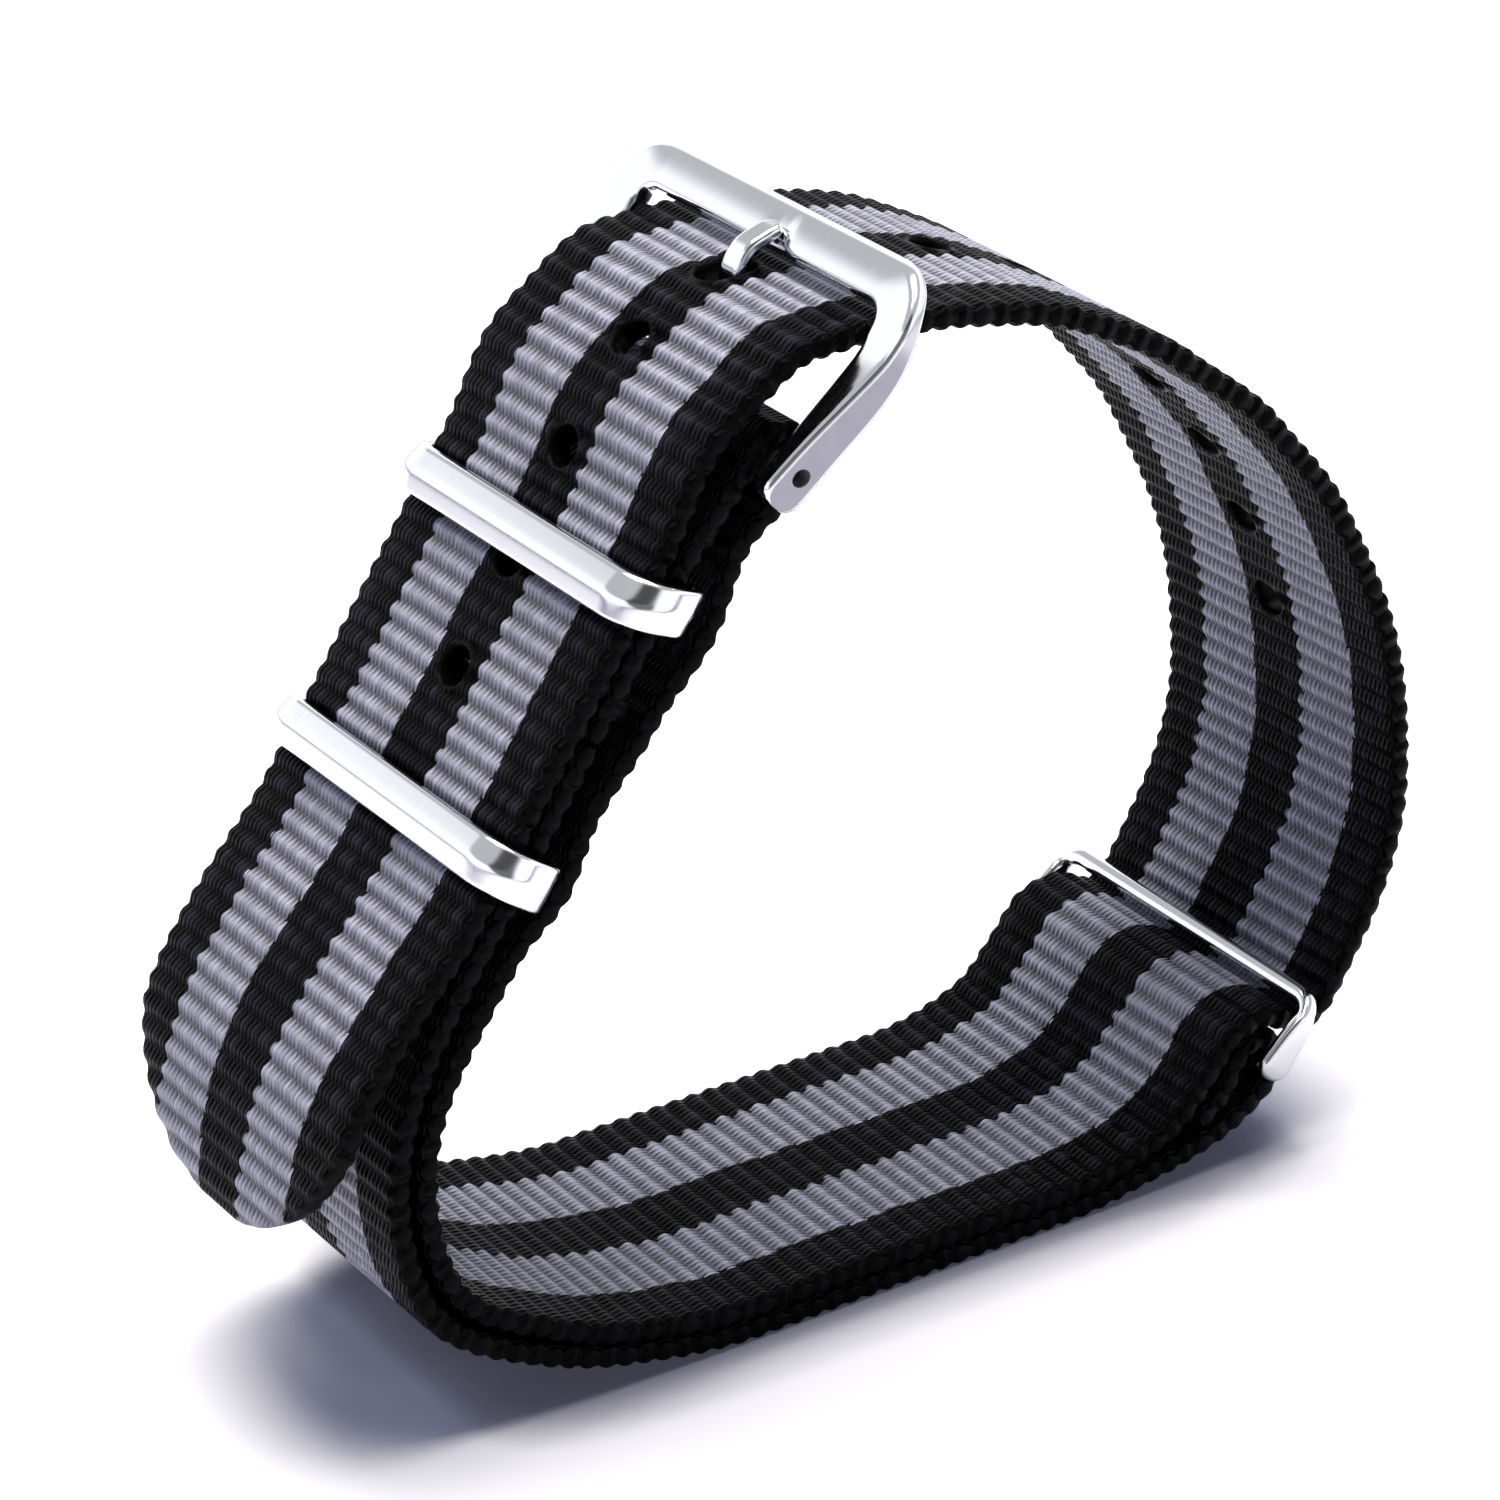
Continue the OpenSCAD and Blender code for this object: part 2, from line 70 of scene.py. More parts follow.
HOLE_U, HOLE_N = FRAME_L - 5.1, 1.2

# Two values nearer to the photograph than the solids' -1.4 and 0.25
TONGUE_LEAN, RIDGE_H = -1.5, 0.35


# Places and lines

def ahead(a):
    """A step of one along a heading in degrees, in the XZ plane."""
    return np.array([math.cos(math.radians(a)), math.sin(math.radians(a))])


def aside(a):
    """A step of one to the left of a heading."""
    return np.array([-math.sin(math.radians(a)), math.cos(math.radians(a))])


PIVOT = np.array([-7.7, 49.9])      # the spring bar
HELD_BAR = np.array([25, 5.95])     # the end ring's bar in the loop of the short strap
RING_REACH = 2 * RING_BAR_R + 2 * STRAP_T + RING_SLACK
BARE_BAR = HELD_BAR + RING_REACH * ahead(RING_A)
FOLD_R = RING_BAR_R + LAYER_GAP + STRAP_T / 2
OVER_R = FOLD_R + STRAP_T + 2 * LAYER_GAP
WRAP_R = TUBE_R + LAYER_GAP + STRAP_T / 2
MIDDLE_C = KEEPER_BAR_C + BAND_T / 2 + LAYER_GAP + STRAP_T / 2
TAIL_C = MIDDLE_C + STRAP_T + LAYER_GAP
CROSSING_C = WRAP_R + STRAP_T + CROSSING_SLACK
LOWER_KEEPER_S = UPPER_KEEPER_S + KEEPER_SPACING
DOWN_A = FRONT_A + 180


def knot(place, a):
    """A knot of a line: its place and its heading."""
    return [*place, a]


def wrist(x, z, a, lift=0.0):
    """A knot by a point on the wrist's side of the webbing, moved out by lift."""
    return knot([x, z] - (lift + STRAP_T / 2) * aside(a), a)


def front(s, c, a):
    """A knot s down the front run from the spring bar and c out of it."""
    return knot(PIVOT - s * ahead(FRONT_A) + c * aside(FRONT_A), a)


def buckle(u, n, a):
    """A knot u along the buckle from the spring bar and n out of its face."""
    return knot(PIVOT + u * ahead(FRAME_A) + n * aside(FRAME_A), a)


def by_held(x, z, a):
    """A knot by its step from the held bar."""
    return knot(HELD_BAR + [x, z], a)


def by_bare(x, z, a):
    """A knot by the step from the bare bar to a point on the left face of the webbing."""
    return knot(BARE_BAR + [x, z] - STRAP_T / 2 * aside(a), a)


# The inner layer on the front run: where it is melted to the next one, and how far out it lies there
# and in the pockets behind the two keepers
WELD_S = [4.6, UPPER_KEEPER_S + 5.3, LOWER_KEEPER_S - 4, LOWER_KEEPER_S + 4]
WELD_C = [-0.4, -0.4, 0.15, 0.45]
POCKET_C = [-1.1, -0.4]
FOLD_WELD = by_held(-3.1, -3.1, 378)    # where the short strap's loop is closed
UNDER_BAR = np.add(buckle(FRAME_L - FRONT_BAR_W / 2, BAR_N, 537), [-BAR_BACK, -BAR_DROP, 0])
UNDER = STRAP_T + LAYER_GAP

# The middle lines of the straps, by knots whose headings count on past a full turn. The long strap:
# folded end, spring bar, inner layer, bottom, ring, outside, top, and up through the frame to the
# hole in use; then over the spring bar, through both keepers and to its tip
BEFORE_HOLE = [
    front(FOLD_L, MIDDLE_C, DOWN_A + 180),
    front(UPPER_KEEPER_S - BAND_W / 2, MIDDLE_C, DOWN_A + 180),
    front(0, WRAP_R, DOWN_A + 180), front(-WRAP_R, 0, DOWN_A + 90), front(0, -WRAP_R, DOWN_A),
    front(WELD_S[0], WELD_C[0], DOWN_A), front(UPPER_KEEPER_S, POCKET_C[0], DOWN_A),
    front(WELD_S[1], WELD_C[1], DOWN_A), front(WELD_S[2], WELD_C[2], DOWN_A),
    front(LOWER_KEEPER_S, POCKET_C[1], DOWN_A), front(WELD_S[3], WELD_C[3], DOWN_A),
    wrist(-27.7, 17.6, 262), wrist(-26.6, 10, 296), wrist(-22.8, 6.6, 332), wrist(-16.2, 3.7, 347),
    wrist(-8.5, 2.5, 360), wrist(12.3, 2.5, 360), wrist(18.6, 3.9, 384), wrist(21.3, 6.5, 409),
    by_held(-0.72 * OVER_R, 0.7 * OVER_R, 406), by_held(0, OVER_R, 371),
    by_bare(-1.3, -0.5, 340), by_bare(0.4, -1.2, 365), by_bare(1.9, 0.2, 419),
    wrist(31.7, 12.6, 422), wrist(33.1, 16, 434), wrist(33.7, 19, 444), wrist(33.5, 24.2, 456),
    wrist(32.1, 30.4, 470), wrist(28.4, 37.9, 479), wrist(23.5, 44, 490), wrist(17.8, 48.7, 501),
    wrist(11, 52.6, 514), wrist(3.9, 54.5, 529), UNDER_BAR, buckle(HOLE_U, HOLE_N, 545)]
AFTER_HOLE = [
    front(-5.1, 1.9, DOWN_A + 325), front(-1.9, CROSSING_C - 0.85, DOWN_A + 341),
    front(1, CROSSING_C, DOWN_A + 355), front(UPPER_KEEPER_S - 2.4, TAIL_C, DOWN_A + 360),
    front(LOWER_KEEPER_S + 3, TAIL_C, DOWN_A + 360), front(32.8, TAIL_C + 0.65, DOWN_A + 356),
    front(37.8, TAIL_C + 0.75, DOWN_A + 365), front(43, TAIL_C - 0.6, DOWN_A + 381),
    front(TAIL_L, TAIL_C - 2.3, DOWN_A + 393)]
# The short strap: middle layer, bottom, round the held bar and back to the line that closes its loop
SHORT_KNOTS = [
    front(FOLD_L + BUTT_GAP, MIDDLE_C, DOWN_A), front(LOWER_KEEPER_S + 3, MIDDLE_C, DOWN_A),
    wrist(-27.7, 17.6, 262, UNDER + 0.3), wrist(-26.6, 10, 296, UNDER + 0.35),
    wrist(-22.8, 6.6, 332, UNDER + 0.25), wrist(-16.2, 3.7, 347, UNDER),
    wrist(-8.5, 2.5, 360, UNDER), wrist(12.3, 2.5, 360, UNDER),
    by_held(-6.4, -4.6, 368), by_held(-2.2, -3.6, 380), by_held(0.6, -2, 399),
    by_held(1.6, -0.2, 446), by_held(0.3, FOLD_R, 537),
    by_held(-0.65 * FOLD_R, 0.8 * FOLD_R, 582), by_held(-2.4, -1.6, 584), by_held(-3.8, -2.6, 573)]


class Line:
    """A smooth line through knots: between two knots a cubic whose pull is their distance over the
    squared cosine of a quarter of its turn. It is measured along its length."""

    def __init__(self, knots, fine=48):
        u = np.linspace(0, 1, fine, endpoint=False)[:, None]
        spans = []
        for a, b in zip(knots, knots[1:]):
            p, q = np.array(a[:2]), np.array(b[:2])
            pull = np.linalg.norm(q - p) / math.cos(math.radians((b[2] - a[2]) / 4)) ** 2
            spans.append((2 * u**3 - 3 * u**2 + 1) * p + (u**3 - 2 * u**2 + u) * pull * ahead(a[2])
                         + (3 * u**2 - 2 * u**3) * q + (u**3 - u**2) * pull * ahead(b[2]))
        self.points = np.vstack(spans + [np.array([knots[-1][:2]])])
        steps = np.linalg.norm(np.diff(self.points, axis=0), axis=1)
        self.length = np.concatenate([[0], np.cumsum(steps)])
        way = np.gradient(self.points, self.length, axis=0)
        self.turn = np.unwrap(np.arctan2(way[:, 1], way[:, 0]))
        self.knot_at = self.length[::fine]
        self.total = self.length[-1]

    def place(self, s):
        """The line's points at each length s, and the unit step to its left, as (n, 2) arrays."""
        middle = np.stack([np.interp(s, self.length, self.points[:, k]) for k in (0, 1)], -1)
        turn = np.interp(s, self.length, self.turn)
        return middle, np.stack([-np.sin(turn), np.cos(turn)], -1)


# Meshes


def make(name, points_mm, faces, body, replaces=(), materials=(), threads=None, weight=None,
         sharp=None):
    """A closed mesh from points in millimetres, turned right side out by the sign of its volume.
    Threads are the places (s, y) for its UV map, weight is an attribute's name and values, and edges
    above the angle sharp stay sharp."""
    points = points_mm * MM
    tri = np.array([[f[0], f[k], f[k + 1]] for f in faces for k in range(1, len(f) - 1)])
    a, b, c = points[tri[:, 0]], points[tri[:, 1]], points[tri[:, 2]]
    if np.einsum("ij,ij->i", a, np.cross(b, c)).sum() < 0:
        faces = [f[::-1] for f in faces]
    mesh = bpy.data.meshes.new(name)
    mesh.from_pydata(points.tolist(), [], faces)
    mesh.shade_smooth()
    if threads is not None:
        layer = mesh.uv_layers.new(name="threads")
        corner = read(mesh.loops, "vertex_index", kind=np.int32)
        layer.data.foreach_set("uv", np.asarray(threads, np.float32)[corner].ravel())
    if weight is not None:
        layer = mesh.attributes.new(weight[0], "FLOAT", "POINT")
        layer.data.foreach_set("value", weight[1].astype(np.float32))
    mesh.update()
    if sharp:
        mesh.set_sharp_from_angle(angle=math.radians(sharp))
    piece = bpy.data.objects.new(name, mesh)
    bpy.context.scene.collection.objects.link(piece)
    for finish in materials:
        mesh.materials.append(finish)
    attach(piece, body)
    if replaces:
        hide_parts(*replaces)
    return piece


def read(items, name, width=1, kind=float):
    """One property of all the items as an array, with a row for each where it is a vector."""
    values = np.empty(len(items) * width, kind)
    items.foreach_get(name, values)
    return values if width == 1 else values.reshape(-1, width)


def out_of_plane(place, y):
    """XZ places and a y to points."""
    return np.stack([place[..., 0], y, place[..., 1]], -1)


def loft(rings, closed=False):
    """Points and faces of an (n, m, 3) array of rings: quads between neighbouring points of
    neighbouring rings, with flat ends unless the last ring meets the first one."""
    n, m = rings.shape[:2]
    i = np.arange(n if closed else n - 1)[:, None]
    j = np.arange(m)[None]
    on, beside = (i + 1) % n * m, (j + 1) % m
    quads = np.stack(np.broadcast_arrays(i * m + j, i * m + beside, on + beside, on + j), -1)
    faces = quads.reshape(-1, 4).tolist()
    if not closed:
        faces += [list(range(m)), list(range((n - 1) * m, n * m))[::-1]]
    return rings.reshape(-1, 3), faces


def join(parts):
    """Points and faces of several closed shells as one."""
    points, faces, count = [], [], 0
    for p, f in parts:
        points.append(p)
        faces += [[k + count for k in face] for face in f]
        count += len(p)
    return np.vstack(points), faces


# Webbing

RIB = 1.2                       # distance between two ribs
RIB_ROWS = 6                    # rows of points to a rib
RIB_FLAT = 0.25                 # how much broader than a wave the back of a rib is
RIB_LOW, RIB_HIGH = 0.5, 0.69   # half the thickness between ribs and on them
EDGE_R, EDGE_POWER = 0.55, 2.6  # rounding of the selvedge, and the power of its curve
RAGGED_W = 1.1                  # width of the selvedge that the ribs and yarns make uneven
RAGGED_RIB, RAGGED_YARN = 0.05, 0.03
YARN = 0.178                    # half the distance between two yarns on a rib
YARN_REACH = 0.13               # how far the yarns' ends reach past the valley, in ribs
MELTED_IN = 0.16                # how far its melted rim narrows a hole
RIM = 0.34                      # width of that rim
LIP_T, LIP_RISE = 0.4, 0.31     # half the rim's thickness in the bore, and how much it gains
LIP_R, LIP_W = 0.16, 0.18       # the quarter circle in which it gains it, and where it starts to end
HOLE_PULL = 0.4, 0.8            # how far the tongue has drawn its hole out, back and on
BLOCK_HL, BLOCK_HW = 2.1, 2     # half length and half width of the patch of points round a hole
RIM_RINGS = 0, 0.03, 0.08, 0.15, 0.24, RIM          # a hole's rings of points, from its lip,
BLOCK_RINGS = 0.14, 0.28, 0.42, 0.57, 0.71, 0.86    # and in shares of the way to its block's edge
SLOT_HW = TONGUE_EYE_W / 2 + 0.5        # the slot for the tongue's eye: half its width,
SLOT_R = WRAP_R + STRAP_T / 2 + 0.7     # and how far round the spring bar it is cut
TIP_THIN, TIP_MELT, CUT_MELT = 0.3, 0.9, 0.8    # how far in the cut tip is thinner, and melted


def ribs(s):
    """Height of the ribs, 0 to 1: a squared sine along s, broadened by a share of its own square, so
    that they are rounded backs with narrow valleys."""
    wave = np.sin(np.pi * s / RIB) ** 2
    return wave * (1 - RIB_FLAT * wave) / (1 - RIB_FLAT)


def half_width(line, s, tip):
    """Half the webbing's width: full, and a circle's arc of radius TIP_R over the cut tip."""
    if not tip:
        return np.full_like(s, HALF_W)
    d = np.clip(line.total - s, 0, TIP_R)
    return np.minimum(HALF_W, np.sqrt(np.maximum(TIP_R**2 - (TIP_R - d) ** 2, 0)))


def thickness(s, y):
    """Half the thickness: ribs along s, faded to nothing by a superellipse where |y| nears the edge."""
    q = np.clip((np.abs(y) - (HALF_W - EDGE_R)) / EDGE_R, 0, 1)
    rounded = np.maximum(1 - q**EDGE_POWER, 0) ** (1 / EDGE_POWER)
    return (RIB_LOW + (RIB_HIGH - RIB_LOW) * ribs(s)) * rounded


def rim_blend(d, plain):
    """Half the thickness and the share of melt at d from the lip of a hole. The thickness rises by a
    quarter circle from the bore, then runs out evenly into the plain one at RIM; the melt fades from
    a quarter of RIM to as much past it."""
    lip = LIP_T + LIP_RISE * np.sqrt(np.clip(1 - (1 - np.clip(d / LIP_R, 0, 1)) ** 2, 0, 1))
    keep = np.clip((d - LIP_W) / (RIM - LIP_W), 0, 1)
    return lip * (1 - keep) + plain * keep, np.clip(1.25 - d / RIM, 0, 1)


class Webbing:
    """A strap as two grids over (s, y), s along it and y across, one for each face. The outermost
    columns of both faces are the same points. Blocks of cells give way to patches round the holes."""

    def __init__(self, line, tip):
        self.line, self.tip = line, tip
        self.s, self.v = self.rows(), self.columns()
        rows, cols = len(self.s), len(self.v)
        s = np.repeat(self.s[:, None], cols, 1)
        w = half_width(line, self.s, tip)[:, None]
        y = self.v[None] * w / HALF_W
        ragged = RAGGED_RIB * (ribs(s) - 0.5) + RAGGED_YARN * np.sin(s * 9.1) * np.sin(s * 2.3)
        ragged = ragged * np.clip(np.abs(self.v)[None] - (HALF_W - RAGGED_W), 0, 1)
        y = y + np.sign(y) * ragged * (w > HALF_W - 0.1)
        t = thickness(s, self.v[None] * np.ones_like(s))
        melt = np.clip(1 - (w - np.abs(y)) / CUT_MELT, 0, 1) * (w < HALF_W - 0.03)
        if tip:
            t = t * np.clip((line.total - s) / TIP_THIN, 0, 1) ** 0.4
            melt = np.maximum(np.clip(1 - (line.total - s) / TIP_MELT, 0, 1), melt)
        self.points, self.count, self.quads = [], 0, []
        sy = np.stack([s, y], -1).reshape(-1, 2)
        self.face = [self.add_points(sy, t.ravel(), melt.ravel(), side).reshape(rows, cols)
                     for side in (1, -1)]
        self.face[1][:, [0, -1]] = self.face[0][:, [0, -1]]
        self.kept = np.ones((rows - 1, cols - 1), bool)

    def rows(self):
        """The lengths that have a row of points: evenly spaced, and close together at a cut tip."""
        s = np.arange(0, self.line.total, RIB / RIB_ROWS)
        last = np.array([0.1, 0.05, 0.02, 0.005, 0]) if self.tip else np.array([0])
        return np.concatenate([s[s < self.line.total - last[0] - 0.02], self.line.total - last])

    def columns(self):
        """The places across that have a column of points: close together on the rounded selvedges and
        round the holes, with one on each edge of the slot and of the holes' blocks."""
        side = HALF_W - EDGE_R * np.array([0, 0.04, 0.15, 0.35, 0.65, 1])
        inner = [TONGUE_Y + SLOT_HW, BLOCK_HW, 1.6, 1.2, 0.8, 0.4, 0,
                 -0.4, -0.85, TONGUE_Y - SLOT_HW, -1.65, -BLOCK_HW]
        return -np.concatenate([side, [7.5, 4.5], inner, [-4.5, -7.5], -side[::-1]])

    def block(self, s0, s1, y0, y1):
        """Leaves out the cells from s0 to s1 and y0 to y1. Returns the places (row, column) of the
        grid round them, in order."""
        i0, i1 = np.argmin(abs(self.s - s0)), np.argmin(abs(self.s - s1))
        j0, j1 = np.argmin(abs(self.v - y0)), np.argmin(abs(self.v - y1))
        self.kept[i0:i1, j0:j1] = False
        return ([(i, j0) for i in range(i0, i1)] + [(i1, j) for j in range(j0, j1)]
                + [(i, j1) for i in range(i1, i0, -1)] + [(i0, j) for j in range(j1, j0, -1)])

    def hole(self, s0, back=0.0, on=0.0):
        """A round hole at length s0, drawn out by back and on: rings of points from its lip to the
        edge of a square block, the same on both faces, with a wall between the two lips."""
        round_it = self.block(s0 - BLOCK_HL - back, s0 + BLOCK_HL + on, -BLOCK_HW, BLOCK_HW)
        outer = np.array([[self.s[i], self.v[j]] for i, j in round_it])
        drawn = np.clip((outer[:, 0] - s0) * 0.5, -back, on)
        middle = np.stack([s0 + drawn, np.zeros(len(outer))], -1)
        way = outer - middle
        reach = np.linalg.norm(way, axis=1)
        way = way / reach[:, None]
        r = HOLE_D / 2 - MELTED_IN
        depth = [np.full(len(way), d) for d in RIM_RINGS]
        depth += [RIM + (reach - r - RIM) * f for f in BLOCK_RINGS]
        lips = []
        for face in (0, 1):
            rings = []
            for d in depth:
                sy = middle + way * (r + d)[:, None]
                t, melt = rim_blend(d, thickness(sy[:, 0], sy[:, 1]))
                rings.append(self.add_points(sy, t, melt, 1 - 2 * face))
            rings.append(np.array([self.face[face][i, j] for i, j in round_it]))
            lips.append(rings[0])
            for a, b in zip(rings, rings[1:]):
                self.strip(a, b, face)
        self.strip(lips[1], lips[0], 0)

    def slot(self, s0, s1, y0, y1):
        """A square cut right through: only a wall round the block."""
        round_it = self.block(s0, s1, y0, y1)
        far, near = (np.array([self.face[f][i, j] for i, j in round_it]) for f in (1, 0))
        self.strip(far, near, 0)

    def add_points(self, sy, t, melt, side):
        """Keeps points that lie t to the left of the line, or to its right where side is -1. Returns
        their numbers."""
        self.points.append((sy, t, melt, np.full(len(t), side)))
        self.count += len(t)
        return np.arange(self.count - len(t), self.count)

    def strip(self, a, b, face):
        """Quads between two closed rings of points."""
        quads = np.stack([a, np.roll(a, -1), np.roll(b, -1), b], -1)
        self.quads.append(quads[:, ::-1] if face == 0 else quads)

    def build(self, name, finish, replaces):
        """Each point is the line's middle at s, moved half the thickness to its side, and y across.
        A row of quads closes each square end."""
        i, j = np.nonzero(self.kept)
        for face, number in enumerate(self.face):
            quads = [number[i, j], number[i, j + 1], number[i + 1, j + 1], number[i + 1, j]]
            quads = np.stack(quads if face else quads[::-1], -1)
            self.quads.append(quads)
        for row in (0,) if self.tip else (0, -1):
            a, b = self.face[0][row], self.face[1][row]
            quads = np.stack([a[:-1], a[1:], b[1:], b[:-1]], -1)
            self.quads.append(quads[:, ::-1] if row == 0 else quads)
        sy, t, melt, side = (np.concatenate(kind) for kind in zip(*self.points))
        middle, left = self.line.place(sy[:, 0])
        points = out_of_plane(middle + left * (t * side)[:, None], sy[:, 1])
        used, quads = np.unique(np.vstack(self.quads), return_inverse=True)
        faces = [list(dict.fromkeys(q)) for q in quads.reshape(-1, 4).tolist()]
        faces = [f for f in faces if len(f) > 2]
        return make(name, points[used], faces, "strap", replaces, [finish],
                    threads=sy[used], weight=("melt", melt[used]))


# Materials

COLOUR = {"data_type": "RGBA"}
SATIN_GREY = "#8b8b95"
# Cells of noise in a metre. Buffing lines: 0.11 mm apart and 1.1 mm long, coarser than real ones so
# that they show. Pits in melted nylon: 0.3 mm apart
BUFFING, PITS = (900, 9000, 900), 3300.0
# Fibres: cells of noise in a millimetre, along and across the webbing
FIBRE_ALONG, FIBRE_ACROSS = 1.3, 11.0
# The grey stripes: their middle, half their width between the ribs, and how much they gain on a rib
STRIPE_Y, STRIPE_HW, STRIPE_BULGE = 4.26, 1.98, 0.26


def linear(hex_colour):
    """sRGB hex to linear RGBA."""
    c = [int(hex_colour[k:k + 2], 16) / 255 for k in (1, 3, 5)]
    return [x / 12.92 if x <= 0.04045 else ((x + 0.055) / 1.055) ** 2.4 for x in c] + [1]


def node(tree, kind, *inputs, sockets=None, settings=None, **named):
    """Adds a shader node. A second word of kind is its operation. Inputs come in order, by number in
    sockets or by name, and are sockets, nodes (their first output) or values."""
    kind, *operation = kind.split()
    n = tree.nodes.new("ShaderNode" + kind)
    for word in operation:
        n.operation = word
    for key, value in (settings or {}).items():
        setattr(n, key, value)
    by_name = {key.replace("_", " "): value for key, value in named.items()}
    for key, value in {**dict(enumerate(inputs)), **(sockets or {}), **by_name}.items():
        if isinstance(value, bpy.types.Node):
            value = value.outputs[0]
        if isinstance(value, bpy.types.NodeSocket):
            tree.links.new(value, n.inputs[key])
        else:
            n.inputs[key].default_value = value
    return n


def material(name):
    """A new material without nodes, and its tree."""
    m = bpy.data.materials.new(name)
    m.use_nodes = True
    m.node_tree.nodes.clear()
    return m, m.node_tree


def yarn_places(t, s, y):
    """Where a point is in the weave: on the back of its rib and of its yarn, 0 to 1 each, and the
    numbers of both. The valleys swing to and fro by YARN_REACH, because on every second rib the yarns
    stand half a pitch over and their ends reach between each other."""
    across = node(t, "Math MULTIPLY", y, 1 / YARN)
    from_yarn = node(t, "Math PINGPONG", across, 1.0)
    from_yarn = node(t, "Math MULTIPLY_ADD", from_yarn, -2 * YARN_REACH, YARN_REACH)
    wave = node(t, "Math COSINE", node(t, "Math MULTIPLY", s, math.pi / RIB))
    rib = node(t, "Math ADD", node(t, "Math MULTIPLY", s, 1 / RIB),
               node(t, "Math MULTIPLY", from_yarn, wave))
    rib_number = node(t, "Math FLOOR", rib)
    along = node(t, "Math FRACT", rib)
    on_rib = node(t, "Math SINE", node(t, "Math MULTIPLY", along, math.pi))
    # The middle of a yarn is at a whole number of swings: even ribs at 0, odd ribs at 1
    odd = node(t, "Math FLOORED_MODULO", rib_number, 2)
    half_over = node(t, "Math MULTIPLY_ADD", odd, 0.5, 0.5)
    yarn = node(t, "Math MULTIPLY_ADD", y, 0.5 / YARN, half_over)
    yarn_number = node(t, "Math FLOOR", yarn)
    within = node(t, "Math FRACT", yarn)
    on_yarn = node(t, "Math SINE", node(t, "Math MULTIPLY", within, math.pi))
    return on_rib, on_yarn, rib_number, yarn_number


def stripes(t, from_middle, on_rib, chance):
    """1 in the two grey stripes. Their borders step from yarn to yarn and bulge on each rib."""
    from_stripe = node(t, "Math ABSOLUTE", node(t, "Math SUBTRACT", from_middle, STRIPE_Y))
    bulge = node(t, "Math MULTIPLY_ADD", on_rib, STRIPE_BULGE, STRIPE_HW)
    border = node(t, "Math MULTIPLY_ADD", chance, 0.2, bulge)
    return node(t, "MapRange", node(t, "Math SUBTRACT", border, from_stripe), -0.03, 0.03, 0.0, 1.0)


def ribbed_webbing():
    """Woven nylon webbing, whose bright warp yarns run along it over hidden weft ribs: ribs with a
    satin sheen, each a row of short yarns, with valleys darkened by painted shade and painted glints on
    a few black yarns. Its melted places are smooth."""
    m, t = material("ribbed_nylon_webbing")
    place = node(t, "SeparateXYZ", node(t, "UVMap", settings={"uv_map": "threads"}))
    s, y = place.outputs[0], place.outputs[1]
    melt = node(t, "Attribute", settings={"attribute_name": "melt"}).outputs["Fac"]
    on_rib, on_yarn, rib_number, yarn_number = yarn_places(t, s, y)
    chance = node(t, "TexWhiteNoise", node(t, "CombineXYZ", yarn_number, rib_number, 0.0),
                  settings={"noise_dimensions": "3D"})
    fibres = node(t, "CombineXYZ", node(t, "Math MULTIPLY", s, FIBRE_ALONG),
                  node(t, "Math MULTIPLY", y, FIBRE_ACROSS), chance)
    fibres = node(t, "TexNoise", fibres, Scale=1.0, Detail=2.0)
    from_middle = node(t, "Math ABSOLUTE", y)
    grey = stripes(t, from_middle, on_rib, chance)
    # Painted shade: the colour is darkened between two ribs, and between the ends of two yarns
    deep = node(t, "Math POWER", on_rib, 0.7)
    shade = node(t, "Math MULTIPLY_ADD", deep, 0.8, 0.2)
    ends = node(t, "Math MULTIPLY_ADD", on_rib, -0.5, 0.68)
    gap = node(t, "Math MULTIPLY", node(t, "Math SUBTRACT", 1.0, on_yarn), ends)
    shade = node(t, "Math MULTIPLY", shade, node(t, "Math SUBTRACT", 1.0, gap))
    shade = node(t, "Math MULTIPLY", shade, node(t, "MapRange", fibres, 0.3, 0.7, 0.65, 1.3))
    # Grey yarns differ a little; a few black ones get painted glints, and by the selvedge fewer, the
    # black there darkened as painted shade
    painted_glints = node(t, "MapRange", node(t, "Math POWER", chance, 3), 0.0, 1.0, 0.3, 9.0)
    painted_glints = node(t, "Math MULTIPLY", painted_glints, node(t, "MapRange", from_middle, 9.2, 9.6, 1.0, 0.15))
    little = node(t, "Math MULTIPLY_ADD", chance, 0.4, 0.8)
    shade = node(t, "Math MULTIPLY", shade, node(t, "Mix", grey, sockets={2: painted_glints, 3: little}))
    yarns = node(t, "Mix", grey, settings=COLOUR, sockets={6: linear("#09090f"), 7: linear("#b4b8d2")})
    shaded = node(t, "Mix", 1.0, settings={**COLOUR, "blend_type": "MULTIPLY"},
                  sockets={6: yarns.outputs[2], 7: node(t, "CombineColor", shade, shade, shade)})
    sooty = node(t, "Mix", grey, settings=COLOUR, sockets={6: linear("#0a0a0c"), 7: linear("#77778c")})
    melted = node(t, "Mix", melt, settings=COLOUR, sockets={6: shaded.outputs[2], 7: sooty.outputs[2]})
    relief = node(t, "Math MULTIPLY", node(t, "Math MULTIPLY_ADD", gap, -1.4, 1.0), deep)
    relief = node(t, "Math MULTIPLY", relief, node(t, "Math SUBTRACT", 1.0, melt))
    bump = node(t, "Bump", Strength=1.0, Distance=0.2 * MM, Height=relief)
    roughness = node(t, "MapRange", melt, 0.0, 1.0, 0.4, 0.3)
    gloss = node(t, "MapRange", grey, 0.0, 1.0, 0.03, 0.5)
    node(t, "OutputMaterial", node(t, "BsdfPrincipled", Base_Color=melted.outputs[2], IOR=1.53,
                                   Roughness=roughness, Specular_IOR_Level=gloss, Normal=bump))
    return m


